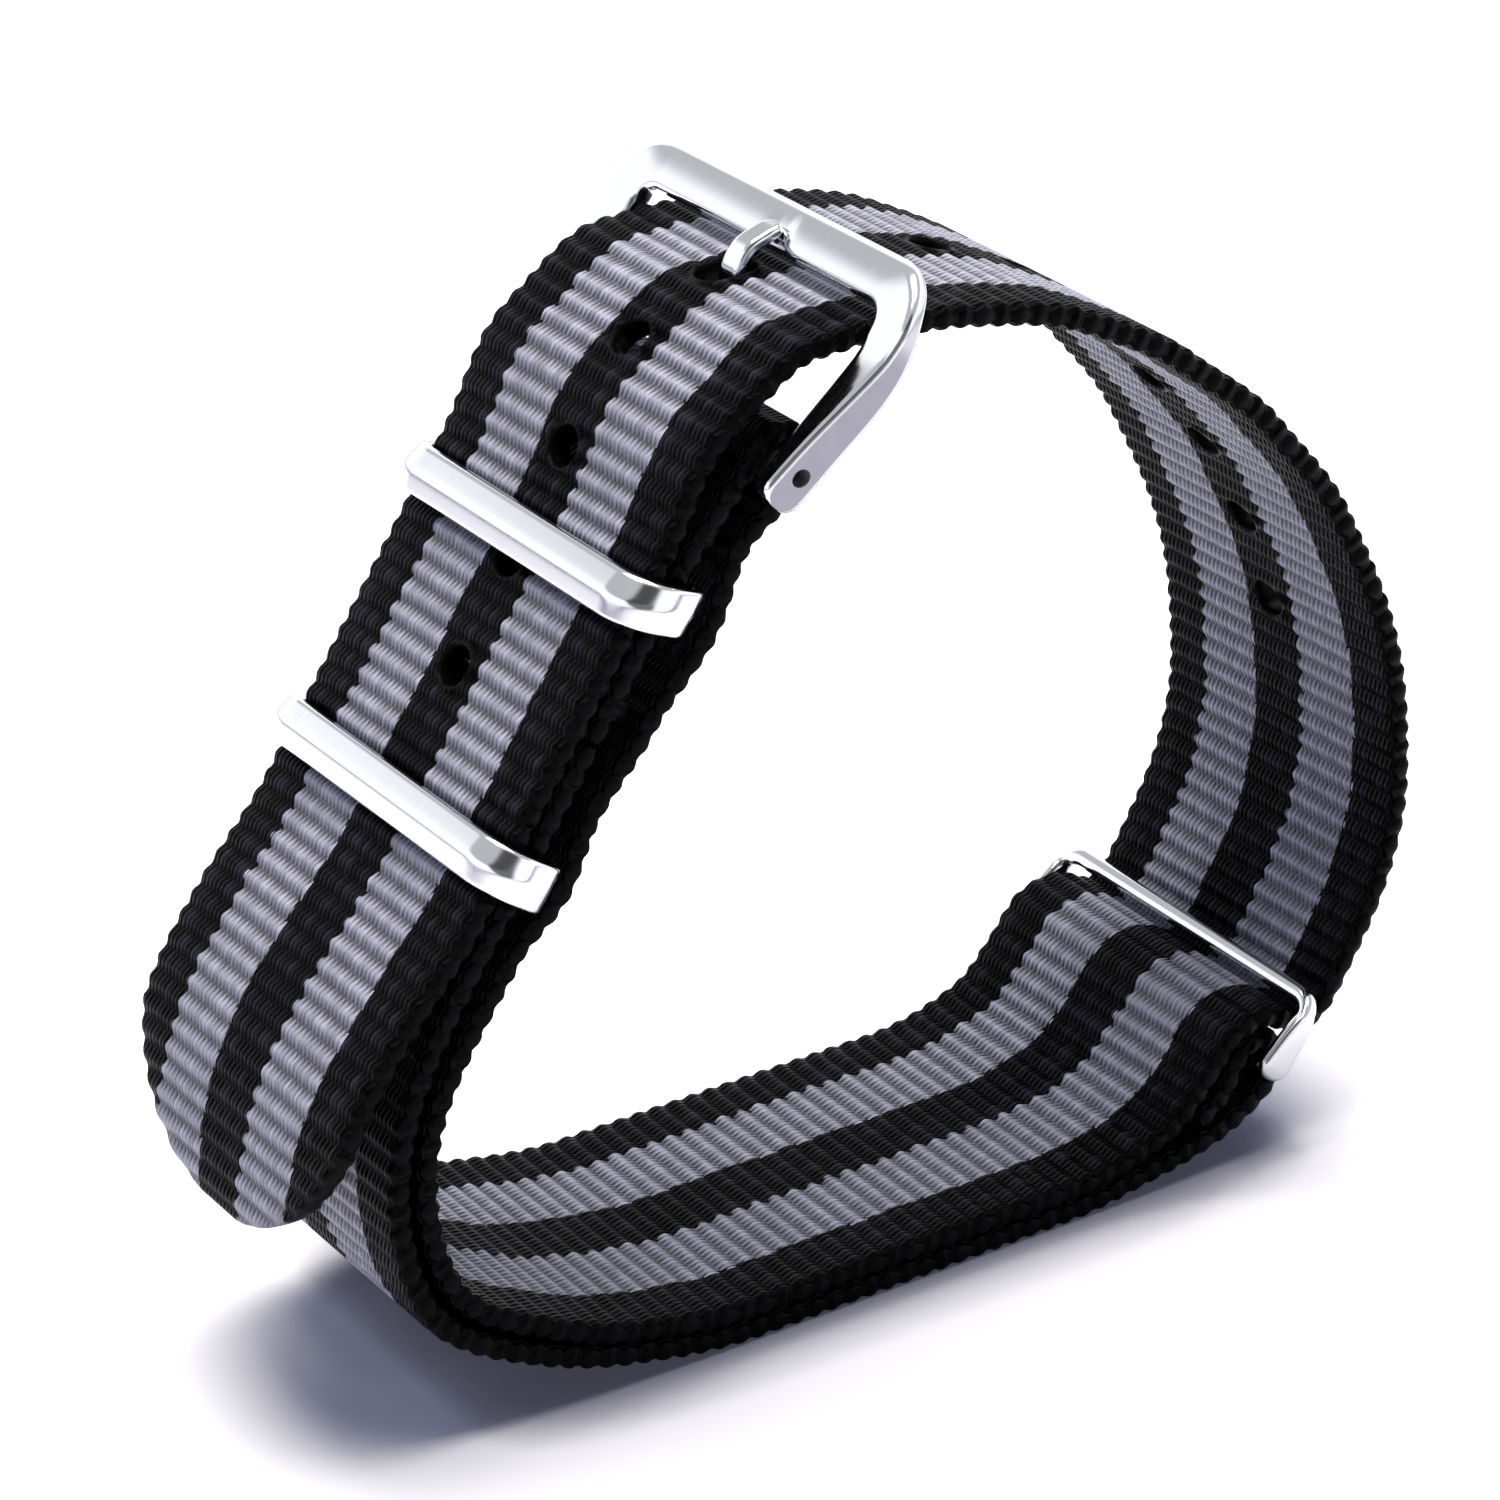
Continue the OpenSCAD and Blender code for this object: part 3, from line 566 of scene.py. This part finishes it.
def fused_nylon():
    """Nylon that a hot die has melted: a dark, slightly glossy, pitted skin."""
    m, t = material("melted_nylon")
    pits = node(t, "TexNoise", node(t, "TexCoord").outputs["Object"], Scale=PITS, Detail=2.0)
    bump = node(t, "Bump", Strength=0.6, Distance=0.05 * MM, Height=pits)
    rough = node(t, "MapRange", pits, 0.3, 0.7, 0.25, 0.5)
    node(t, "OutputMaterial", node(t, "BsdfPrincipled", Base_Color=linear("#0b0b0e"), IOR=1.53,
                                   Roughness=rough, Normal=bump))
    return m


def polished_steel(name, colour, rough):
    """Polished stainless steel: mirror-bright, with faint buffing lines. Where the attribute satin is
    1, on a flat side that the buffing wheel hardly touches, it is greyer and blurs what it mirrors."""
    m, t = material(name)
    place = node(t, "TexCoord").outputs["Object"]
    lines = node(t, "TexNoise", node(t, "Mapping", place, Scale=BUFFING), Scale=1.0, Detail=3.0)
    satin = node(t, "Attribute", settings={"attribute_name": "satin"}).outputs["Fac"]
    grain = node(t, "MapRange", lines, 0.3, 0.7, rough * 0.7, rough * 1.4)
    grain = node(t, "Math MULTIPLY_ADD", satin, 0.26, grain)
    shade = node(t, "Mix", satin, settings=COLOUR, sockets={6: linear(colour), 7: linear(SATIN_GREY)})
    bump = node(t, "Bump", Strength=0.05, Distance=0.02 * MM, Height=lines)
    node(t, "OutputMaterial", node(t, "BsdfPrincipled", Base_Color=shade.outputs[2], Metallic=1.0,
                                   Roughness=grain, Normal=bump))
    return m


webbing = ribbed_webbing()
melted_nylon = fused_nylon()
bright_steel = polished_steel("polished_stainless_steel", "#dadbe0", 0.12)
# Spring bar steel: turned and rougher, and its darker colour is painted shade for the pin ends seen
# deep in the bores
plain_steel_painted_shade = polished_steel("turned_stainless_steel_painted_shade", "#8f9096", 0.35)
# The bore's wall: rough unpolished steel, and its satin grey is also painted shade in the deep bore
bore_steel_painted_shade = polished_steel("unpolished_bore_painted_shade", SATIN_GREY, 0.5)

# The two straps

long_line = Line(BEFORE_HOLE + AFTER_HOLE)
hole_at = long_line.knot_at[len(BEFORE_HOLE) - 1]
long_strap = Webbing(long_line, tip=True)
from_pivot = np.linalg.norm(long_line.points - PIVOT, axis=1)
in_fold = long_line.length[(from_pivot < SLOT_R) & (long_line.length < 2.5 * FOLD_L)]
long_strap.slot(in_fold.min(), in_fold.max(), TONGUE_Y - SLOT_HW, TONGUE_Y + SLOT_HW)
for k in range(-HOLES_TO_LOOP, HOLES_TO_TIP + 1):
    long_strap.hole(hole_at + k * HOLE_PITCH, *(HOLE_PULL if k == 0 else (0, 0)))
long_strap.build("long_strap_webbing", webbing, ["long_strap"])
Webbing(Line(SHORT_KNOTS), tip=False).build("short_strap_webbing", webbing, ["short_strap"])


# Metal parts

def rounded_section(half_w, half_h, r):
    """Outline of a rectangle with round corners, for each ring of a loft: arrays (rings, points).
    A point just past each rounding keeps the flats flat under smooth shading."""
    half_w, half_h, r = (np.atleast_1d(v)[:, None] for v in (half_w, half_h, r))
    across, up = [], []
    for sx, sy, a0 in ((1, 1, 0), (-1, 1, 90), (-1, -1, 180), (1, -1, 270)):
        a = np.radians(a0 + np.linspace(0, 90, 6))[None]
        x, y = sx * (half_w - r) + r * np.cos(a), sy * (half_h - r) + r * np.sin(a)
        first, last = a[:, :1], a[:, -1:]
        past = 0.35 * r
        across.append(np.hstack([x[:, :1] + past * np.sin(first), x,
                                 x[:, -1:] - past * np.sin(last)]))
        up.append(np.hstack([y[:, :1] - past * np.cos(first), y, y[:, -1:] + past * np.cos(last)]))
    return np.hstack(across), np.hstack(up)


def from_buckle(u, n, y):
    """Points given along the buckle's frame, out of its face and across."""
    place = PIVOT + u[..., None] * ahead(FRAME_A) + n[..., None] * aside(FRAME_A)
    return out_of_plane(place, y)


def from_front(s, c, y):
    """Points given down the front run, out of it and across."""
    place = PIVOT - s[..., None] * ahead(FRONT_A) + c[..., None] * aside(FRONT_A)
    return out_of_plane(place, y)


WINDOW_HW = HALF_W + SIDE_PLAY
EYE_END = -EYE_BACK + EYE_CORNER
BAR_BACK_U = FRAME_L - FRONT_BAR_W
# The frame seen from its side, by knots along it and out of its face: over the eye, down to the
# slimmest place of the arms and over the crown of the front bar; and back along its underside
WAIST_U, WAIST_TOP, WAIST_UNDER = 6.3, 0.85, -0.95
BAR_TOP, BAR_UNDER = BAR_N + BAR_T / 2, BAR_N - BAR_T / 2
FRAME_TOP = Line([[EYE_END, EYE_R, 360], [1, EYE_R - 0.03, 358], [WAIST_U, WAIST_TOP, 358],
                  [BAR_BACK_U, BAR_TOP - 0.14, 367],
                  [FRAME_L - 0.45 * FRONT_BAR_W, BAR_TOP, 360], [FRAME_L, BAR_N + 0.05, 300]])
FRAME_UNDER = Line([[FRAME_L, BAR_UNDER + 0.25, 205], [FRAME_L - 0.4, BAR_UNDER + 0.1, 195],
                    [BAR_BACK_U, BAR_UNDER - 0.15, 200], [WAIST_U, WAIST_UNDER, 192],
                    [1, -EYE_R + 0.03, 182], [EYE_END, -EYE_R, 180]])
# The notch for the tongue: its middle, depth, half width at the bottom and width of each slope, and
# from where to where on the bar it runs out
NOTCH_Y, NOTCH_D, NOTCH_HW, NOTCH_SLOPE = TONGUE_Y + TONGUE_LEAN, 0.14, 0.42, 0.7
NOTCH_BACK, NOTCH_FRONT, NOTCH_FADE = 8, 10.4, 1.2
FRAME_EDGE_R, BAR_EDGE_R = 0.36, 0.42


def frame_heights(u, y):
    """Lower and upper face of the buckle frame at u: two drawn lines, rounded at the eye's end, with
    a shallow notch for the tongue in the inner half of the front bar."""
    top = np.interp(u, FRAME_TOP.points[:, 0], FRAME_TOP.points[:, 1])
    under = np.interp(u, FRAME_UNDER.points[::-1, 0], FRAME_UNDER.points[::-1, 1])
    back = np.clip((EYE_END - u) / EYE_CORNER, 0, 1)
    cut = EYE_CORNER * (1 - np.sqrt(1 - back**2))
    notch = NOTCH_D * np.clip(1 - (np.abs(y - NOTCH_Y) - NOTCH_HW) / NOTCH_SLOPE, 0, 1)
    notch = notch * (u > NOTCH_BACK) * np.clip((NOTCH_FRONT - u) / NOTCH_FADE, 0, 1)
    return under + cut, top - cut - notch


def frame_outline():
    """Outer and inner points (u, y) of the frame seen on its face: from the near eye along its arm,
    round a corner, along the front bar and back the same way on the far side."""
    end_hw, front_hw = WINDOW_HW + ARM_END_W, WINDOW_HW + ARM_FRONT_W
    front_u, front_y = FRAME_L - CORNER_R, front_hw - CORNER_R
    window_u, window_y = BAR_BACK_U - WINDOW_R, WINDOW_HW - WINDOW_R
    shares = np.array([0, 0.004, 0.012, 0.03, 0.05, 0.08, *np.linspace(0.12, 1, 16)])
    u = -EYE_BACK + (front_u - 0.25 + EYE_BACK) * shares
    arm_y = -np.interp(u, [-EYE_BACK, front_u], [end_hw, front_hw])
    a = np.radians(np.linspace(-88, -2, 16))
    turn = np.stack([np.cos(a), np.sin(a)], -1)
    t = np.linspace(-1, 0, 24)
    t = np.unique(np.concatenate([t, -t, (NOTCH_Y + np.linspace(-1, 1, 17)) / front_y]))
    outer = arm_y, [front_u, -front_y], CORNER_R, FRAME_L, front_y
    inner = np.full_like(u, -WINDOW_HW), [window_u, -window_y], WINDOW_R, BAR_BACK_U, window_y
    sides = []
    for arm, middle, r, bar_u, bar_y in (outer, inner):
        near = np.vstack([np.stack([u, arm], -1), middle + r * turn])
        bar = np.stack([np.full_like(t, bar_u), bar_y * t], -1)
        sides.append(np.vstack([near, bar, near[::-1] * [1, -1]]))
    return sides


def buckle_frame():
    """A U carried from one eye to the other: at each station the material lies between an inner and
    an outer point, and between the lower and upper face, with rounded edges."""
    outer, inner = frame_outline()
    middle, half = (outer + inner) / 2, (outer - inner) / 2
    width = np.linalg.norm(half, axis=1)
    low, high = frame_heights(middle[:, 0], middle[:, 1])
    half_h = (high - low) / 2
    at_bar = np.clip((middle[:, 0] - 5) / 4, 0, 1)
    edge_r = FRAME_EDGE_R + (BAR_EDGE_R - FRAME_EDGE_R) * at_bar
    across, up = rounded_section(width, half_h, np.minimum(edge_r, half_h * 0.92))
    uy = middle[:, None] + half[:, None] * (across / width[:, None])[..., None]
    low, high = frame_heights(uy[..., 0], uy[..., 1])
    n = (low + high) / 2 + (high - low) / 2 * up / half_h[:, None]
    # The arms' outer sides are satin up to the corners
    satin = np.clip((FRAME_L - CORNER_R + 1 - middle[:, :1]) / 2, 0, 1)
    satin = satin * (across > width[:, None] - 1e-6)
    points, faces = loft(from_buckle(uy[..., 0], n, uy[..., 1]))
    piece = make("buckle_frame_polished", points, faces, "buckle", ["buckle_frame"],
                 [bright_steel, bore_steel_painted_shade], weight=("satin", satin.ravel()), sharp=50)
    for way in (-1, 1):
        eye_y = np.array(way * (WINDOW_HW + 0.8))
        drill(piece, from_buckle(np.array(0.0), np.array(0.0), eye_y), PIN_R + PIN_PLAY)
    return piece


def drill(piece, middle, r):
    """Cuts a round bore along Y through a piece. Its wall and the points round it are all satin, in the
    second material, whose grey is partly painted shade for the deep bore.
    """
    a = 2 * np.pi * np.arange(32) / 32
    rings = [middle + np.stack([r * np.cos(a), np.full(32, y), r * np.sin(a)], -1) for y in (-2, 2)]
    cutter = make("bore", *loft(np.array(rings)), "buckle")
    cut = piece.modifiers.new("bore", "BOOLEAN")
    cut.object, cut.operation, cut.solver = cutter, "DIFFERENCE", "EXACT"
    bpy.context.view_layer.update()
    graph = bpy.context.evaluated_depsgraph_get()
    bored = bpy.data.meshes.new_from_object(piece.evaluated_get(graph))
    sides, near = bored.polygons, 1.02 * r
    centres = read(sides, "center", 3) / MM - middle
    across = np.abs(read(sides, "normal", 3)[:, 1]) < 0.1
    in_bore = across & (np.hypot(centres[:, 0], centres[:, 2]) < near)
    kinds = np.where(in_bore, 1, read(sides, "material_index", kind=np.int32)).astype(np.int32)
    sides.foreach_set("material_index", kinds)
    spots = read(bored.vertices, "co", 3) / MM - middle
    satin = read(bored.attributes["satin"].data, "value", kind=np.float32)
    satin[np.linalg.norm(spots[:, ::2], axis=1) < near] = 1
    bored.attributes["satin"].data.foreach_set("value", satin)
    bored.set_sharp_from_angle(angle=math.radians(30))
    piece.modifiers.clear()
    piece.data = bored
    bpy.data.objects.remove(cutter)


def buckle_tongue():
    """A rolled eye, a ring turned about the spring bar, and a bent finger: a section carried along a
    line that comes up through the hole and bends down onto the front bar. Its tip is rounded by a
    quarter circle in width and thins a little."""
    eye_half_t, edge_r = 0.35, 0.2
    a = 2 * np.pi * np.arange(40)[:, None] / 40
    across, out = rounded_section(TONGUE_EYE_W / 2, eye_half_t, edge_r)
    r = TUBE_R + PIN_PLAY + eye_half_t + out
    eye = from_buckle(r * np.cos(a), r * np.sin(a), TONGUE_Y + across * np.ones((40, 1)))
    # Along the buckle, out of its face, heading
    line = Line([[0, 1.32, 360], [5.4, 0.85, 372], [7.0, 1.75, 395], [8.2, 2.2, 367],
                 [9.3, 1.9, 340], [10.3, 1.52, 342]])
    last = line.total - np.array([0.4, 0.3, 0.2, 0.1, 0.04, 0.01])
    s = np.concatenate([np.linspace(0, line.total - 0.5, 60), last])
    place, left = line.place(s)
    to_tip = line.total - s
    half = np.interp(s, [0, line.total], [0.78, 0.74])
    half = half * np.sqrt(np.clip(1 - (1 - np.clip(to_tip / 0.5, 0, 1)) ** 2, 0.02, 1))
    half_t = 0.34 - 0.12 * np.clip(1 - to_tip / 0.6, 0, 1)
    edge_r = np.minimum(np.minimum(0.26, half * 0.9), half_t * 0.9)
    across, up = rounded_section(half, half_t, edge_r)
    u, n = (place[:, None, k] + left[:, None, k] * up for k in (0, 1))
    y = TONGUE_Y + TONGUE_LEAN * place[:, None, 0] / (FRAME_L - 0.6) + across
    points, faces = join([loft(eye, closed=True), loft(from_buckle(u, n, y))])
    return make("buckle_tongue_polished", points, faces, "tongue", ["buckle_tongue"],
                [bright_steel], sharp=50)


KEEPER_FRONT_C = TAIL_C + STRAP_T / 2 + KEEPER_SLACK + BAND_T / 2
KEEPER_HW = HALF_W + 0.5 + BAND_T / 2
CROWN_R = 0.14      # how softly the crown of a keeper turns


def keeper_path():
    """The middle of a keeper's band, a rectangle with round corners: rows of its place out of the
    front run and across, and the outward step there. A row past each corner keeps the straight runs
    flat under smooth shading."""
    path = []
    for c, sc, sy, r, a0 in ((KEEPER_FRONT_C, 1, -1, 2.0, 0), (KEEPER_BAR_C, -1, -1, 0.9, 270),
                             (KEEPER_BAR_C, -1, 1, 0.9, 180), (KEEPER_FRONT_C, 1, 1, 2.0, 90)):
        a = np.radians(a0 - np.linspace(0, 90, 13))
        spot = np.stack([c - sc * r + r * np.cos(a), sy * (KEEPER_HW - r) + r * np.sin(a),
                         np.cos(a), np.sin(a)], -1)
        past = 0.12 * np.stack([-np.sin(a), np.cos(a), 0 * a, 0 * a], -1)
        path.append(np.vstack([spot[0] + past[0], spot, spot[-1] - past[-1]]))
    return np.vstack(path)


def keeper_section(half, half_t, r):
    """The band's outline as (across the band, out of it): a rectangle with round corners, and closer
    points along its faces, where the crown needs them."""
    a = np.radians(np.linspace(0, 90, 7))
    corner = np.stack([half - r + r * np.cos(a), half_t - r + r * np.sin(a)], -1)
    flat = np.linspace(half - r - 0.06, 0.04, 9)
    quarter = np.vstack([[half, 0.05], [half, half_t - r - 0.05], corner,
                         np.stack([flat, np.full(9, half_t)], -1)])
    top = np.vstack([quarter, quarter[::-1] * [-1, 1]])
    return np.vstack([top, top[::-1] * [1, -1]])


def keeper(name, body, node_name, s, lean):
    """A band carried round a rounded rectangle in the plane across the strap. Its outer face is
    crowned, which runs out down its sides: the crown's height falls with the root of the squares of
    the place across the band and of CROWN_R. Its back lies lean times its depth further up."""
    path = keeper_path()
    half, half_t = BAND_W / 2, BAND_T / 2 - 0.1
    outline = keeper_section(half, half_t, 0.2)
    on_front = 0.75 + 0.25 * np.clip(path[:, 2], 0, 1)
    on_front = on_front * np.clip((path[:, 0] - KEEPER_BAR_C) / 1.5, 0, 1)
    w, d = outline[None, :, 0], outline[None, :, 1]
    fall = (np.sqrt(w**2 + CROWN_R**2) - CROWN_R) / (math.hypot(half, CROWN_R) - CROWN_R)
    out = d + RIDGE_H * on_front[:, None] * (1 - fall) * np.clip(d / half_t, 0, 1)
    c, y = (path[:, None, k] + path[:, None, k + 2] * out for k in (0, 1))
    band = from_front(s - lean * (KEEPER_FRONT_C - c) + w * np.ones_like(c), c, y)
    points, faces = loft(band, closed=True)
    return make(name, points, faces, body, [node_name], [bright_steel], sharp=60)


def ring_path(near_r, far_r):
    """The middle of the end ring's wire, a rectangle whose corners have radius near_r at the held bar
    and far_r at the bare one: columns of its place from the held bar and across, and the angle of its
    outward step."""
    side_y = HALF_W + RING_PLAY + RING_SIDE_T / 2
    side = np.linspace(RING_REACH - far_r, near_r, 10)[1:-1]
    path = []
    for x0, sx, sy, r, a0 in ((RING_REACH, -1, -1, far_r, -90), (RING_REACH, -1, 1, far_r, 0),
                              (0, 1, 1, near_r, 90), (0, 1, -1, near_r, 180)):
        a = np.radians(a0 + np.linspace(0, 90, 13))
        path.append(np.stack([x0 + sx * r + r * np.cos(a), sy * (side_y - r) + r * np.sin(a), a], -1))
        if a0 in (0, 180):
            run = side if a0 == 0 else side[::-1]
            path.append(np.stack([run, np.full(8, sy * side_y), np.full(8, a[-1])], -1))
    return np.vstack(path).T[..., None]


def end_ring():
    """A section carried round a rounded rectangle in the plane of the two bars. It is round on the
    bars, and on the sides a flat leaf: narrow by the bare bar, broad by the held one, where the path
    dips a little. A point of it is the half sizes times the powers 2/p of a cosine and a sine."""
    x, y, a = ring_path(0.85, 1.3)
    side = np.sin(a) ** 2
    leaf = side * np.clip(1 - (x - 0.6) / (RING_REACH - 1.5), 0, 1) ** 0.6
    half_t = RING_BAR_R - 0.12 * side
    broad = RING_BAR_R + 0.55 * leaf
    power = 2 / (2 + 1.6 * leaf)
    b = 2 * np.pi * np.arange(36)[None] / 36
    out = half_t * np.sign(np.cos(b)) * np.abs(np.cos(b)) ** power
    over = broad * np.sign(np.sin(b)) * np.abs(np.sin(b)) ** power
    x = x - 0.6 * side * np.clip(1 - x / 2, 0, 1) + out * np.cos(a)
    place = HELD_BAR + x[..., None] * ahead(RING_A) + over[..., None] * aside(RING_A)
    points, faces = loft(out_of_plane(place, y + out * np.sin(a)), closed=True)
    satin = 0.5 * leaf * (np.cos(b) > 0.5)
    return make("end_ring_polished", points, faces, "ring", ["end_ring"], [bright_steel],
                weight=("satin", satin.ravel()), sharp=60)


def weld_bars():
    """Bars across the width where two layers are melted together: a rounded section carried along y.
    Each is given by the middle of its section, its heading and its two sizes."""
    inner_c = WELD_C[:2] + [c + 0.5 for c in WELD_C[2:]]
    spots = [(front(s, (c + MIDDLE_C) / 2, DOWN_A), WELD_W, MIDDLE_C - c)
             for s, c in zip(WELD_S, inner_c)]
    spots.append((FOLD_WELD, WELD_W, STRAP_T))
    y = np.array([-1, 1])[:, None] * (HALF_W - WELD_INSET)
    parts = []
    for (x, z, a), wide, high in spots:
        across, up = rounded_section(wide / 2, high / 2, 0.2)
        place = [x, z] + across[..., None] * ahead(a) + up[..., None] * aside(a)
        parts.append(loft(out_of_plane(np.repeat(place, 2, 0), y * np.ones_like(across))))
    return make("weld_bars_melted", *join(parts), "strap", materials=[melted_nylon], sharp=50)


WIRE_R, COIL_TURNS = 0.1, 17


def spring_half(name, way):
    """Half of the spring bar's spring, from its middle to one tip: a round wire wound about the bar,
    rising evenly but for one closed turn at its end."""
    turn = np.linspace(0, COIL_TURNS, COIL_TURNS * 16 + 1)
    rise = np.interp(turn, [0, COIL_TURNS - 1, COIL_TURNS],
                     [0, SPRING_HL - 3 * WIRE_R, SPRING_HL - WIRE_R])
    r, a = SPRING_R - WIRE_R, 2 * np.pi * turn
    out = np.stack([np.cos(a), 0 * a, np.sin(a)], -1)
    middle = [PIVOT[0], 0, PIVOT[1]] + r * out + rise[:, None] * [0, way, 0]
    tangent = np.gradient(middle, axis=0)
    tangent /= np.linalg.norm(tangent, axis=1)[:, None]
    b = 2 * np.pi * np.arange(8)[None, :, None] / 8
    around = np.cos(b) * out[:, None] + np.sin(b) * np.cross(tangent, out)[:, None]
    points, faces = loft(middle[:, None] + WIRE_R * around)
    piece = make(name, points, faces, "strap", ["spring_bar_spring"], [plain_steel_painted_shade], sharp=60)
    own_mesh(piece)
    return piece


buckle_frame()
buckle_tongue()
weld_bars()
keeper("upper_keeper_polished", "keeper_upper", "upper_keeper", UPPER_KEEPER_S, 0.2)
keeper("lower_keeper_polished", "keeper_lower", "lower_keeper", LOWER_KEEPER_S, 0.0)
end_ring()
spring_half("spring_coil_near", -1)
spring_half("spring_coil_far", 1)

for name in ("spring_bar_tube", "spring_bar_tip_near", "spring_bar_tip_far"):
    NODES[name].data.materials.clear()
    NODES[name].data.materials.append(plain_steel_painted_shade)

# Floor, light and camera

AIM = np.array([-2.5, 0, 28.95]) * MM
CAMERA_AT = np.array([-139.64, -198.97, 149.15]) * MM
FORWARD = np.array([0.50812, 0.73721, -0.44536])
RIGHT = np.array([0.82478, -0.56543, 0.00504])
CONTACT_REACH = 4.5


def pale_floor():
    """Matt white board. Rays from the camera, from gloss and through glass see it whiter, so that it
    is a white background that keeps the strap's shadows, with a painted bluish contact shadow within
    CONTACT_REACH of the strap; the light that it throws back is a pale grey's."""
    m, t = material("pale_floor")
    path = node(t, "LightPath")
    seen = node(t, "Math MAXIMUM", path.outputs["Is Camera Ray"], path.outputs["Is Glossy Ray"])
    seen = node(t, "Math MAXIMUM", seen, path.outputs["Is Transmission Ray"])
    lift = node(t, "Emission", linear("#dfe2ff"), node(t, "Math MULTIPLY", seen, 0.06))
    # Painted contact shadow: ambient occlusion darkens the floor's seen colour to a dark blue near the
    # strap
    near = node(t, "AmbientOcclusion", settings={"samples": 6}, Distance=CONTACT_REACH * MM)
    near = node(t, "Math POWER", near.outputs["AO"], 4)
    painted_contact_shadow = node(t, "Mix", near, settings=COLOUR,
                   sockets={6: (0.12, 0.13, 0.24, 1), 7: (1.54, 1.6, 1.72, 1)})
    pale = node(t, "Mix", seen, settings=COLOUR, sockets={6: linear("#d6d6e0"), 7: painted_contact_shadow.outputs[2]})
    matt = node(t, "BsdfDiffuse", pale.outputs[2])
    node(t, "OutputMaterial", node(t, "AddShader", matt, lift))
    return m


def lay_floor(reach):
    """A square of floor that reaches this many metres each way."""
    mesh = bpy.data.meshes.new("floor")
    corners = [(-reach, -reach, 0), (reach, -reach, 0), (reach, reach, 0), (-reach, reach, 0)]
    mesh.from_pydata(corners, [], [(0, 1, 2, 3)])
    mesh.materials.append(pale_floor())
    floor = bpy.data.objects.new("floor", mesh)
    bpy.context.scene.collection.objects.link(floor)


def studio():
    """A plain pale room, a little cool: bright low down and dimmer from a third of the way up, with a
    dark side behind the camera. Gloss sees it whole, and the rest is lit by a share of it."""
    world = bpy.data.worlds.new("studio")
    bpy.context.scene.world = world
    world.use_nodes = True
    t = world.node_tree
    t.nodes.clear()
    way = node(t, "TexCoord").outputs["Generated"]
    height = node(t, "SeparateXYZ", way).outputs[2]
    walls = node(t, "MapRange", height, 0.51, 0.585, 1.45, 0.66)
    towards_eye = node(t, "VectorMath DOT_PRODUCT", way, tuple(-FORWARD)).outputs["Value"]
    dark_side = node(t, "MapRange", towards_eye, 0.83, 0.9, 1.0, 0.15)
    gloss = node(t, "LightPath").outputs["Is Glossy Ray"]
    share = node(t, "Math MULTIPLY_ADD", gloss, 0.84, 0.16)
    strength = node(t, "Math MULTIPLY", node(t, "Math MULTIPLY", walls, share), dark_side)
    tint = node(t, "Mix", gloss, settings=COLOUR, sockets={6: linear("#ccd2ff"), 7: linear("#fdfdff")})
    node(t, "OutputWorld", node(t, "Background", tint.outputs[2], strength))


def lamp(name, place, size, power, colour):
    """A soft square lamp at a place in millimetres from the aim, pointing at it."""
    data = bpy.data.lights.new(name, "AREA")
    data.shape, data.size, data.energy, data.color = "SQUARE", size * MM, power, linear(colour)[:3]
    obj = bpy.data.objects.new(name, data)
    bpy.context.scene.collection.objects.link(obj)
    obj.location = Vector(AIM) + Vector(place) * MM
    obj.rotation_euler = (Vector(AIM) - obj.location).to_track_quat("-Z", "Y").to_euler()


def photograph_camera():
    """The photograph's view: a camera by its place, its forward and its right step."""
    camera = bpy.data.cameras.new("camera")
    camera.sensor_width, camera.lens = 36, 123.83
    camera.clip_start, camera.clip_end = 0.01, 20
    eye = bpy.data.objects.new("camera", camera)
    bpy.context.scene.collection.objects.link(eye)
    up = np.cross(RIGHT, FORWARD)
    turned = Matrix([list(row) for row in np.stack([RIGHT, up, -FORWARD], 1)])
    eye.matrix_world = Matrix.Translation(CAMERA_AT) @ turned.to_4x4()
    bpy.context.scene.camera = eye


lay_floor(3)
studio()
lamp("key", (28, 90, 690), 580, 6.9, "#fff6ea")
photograph_camera()
bpy.context.scene.view_settings.view_transform = "Standard"
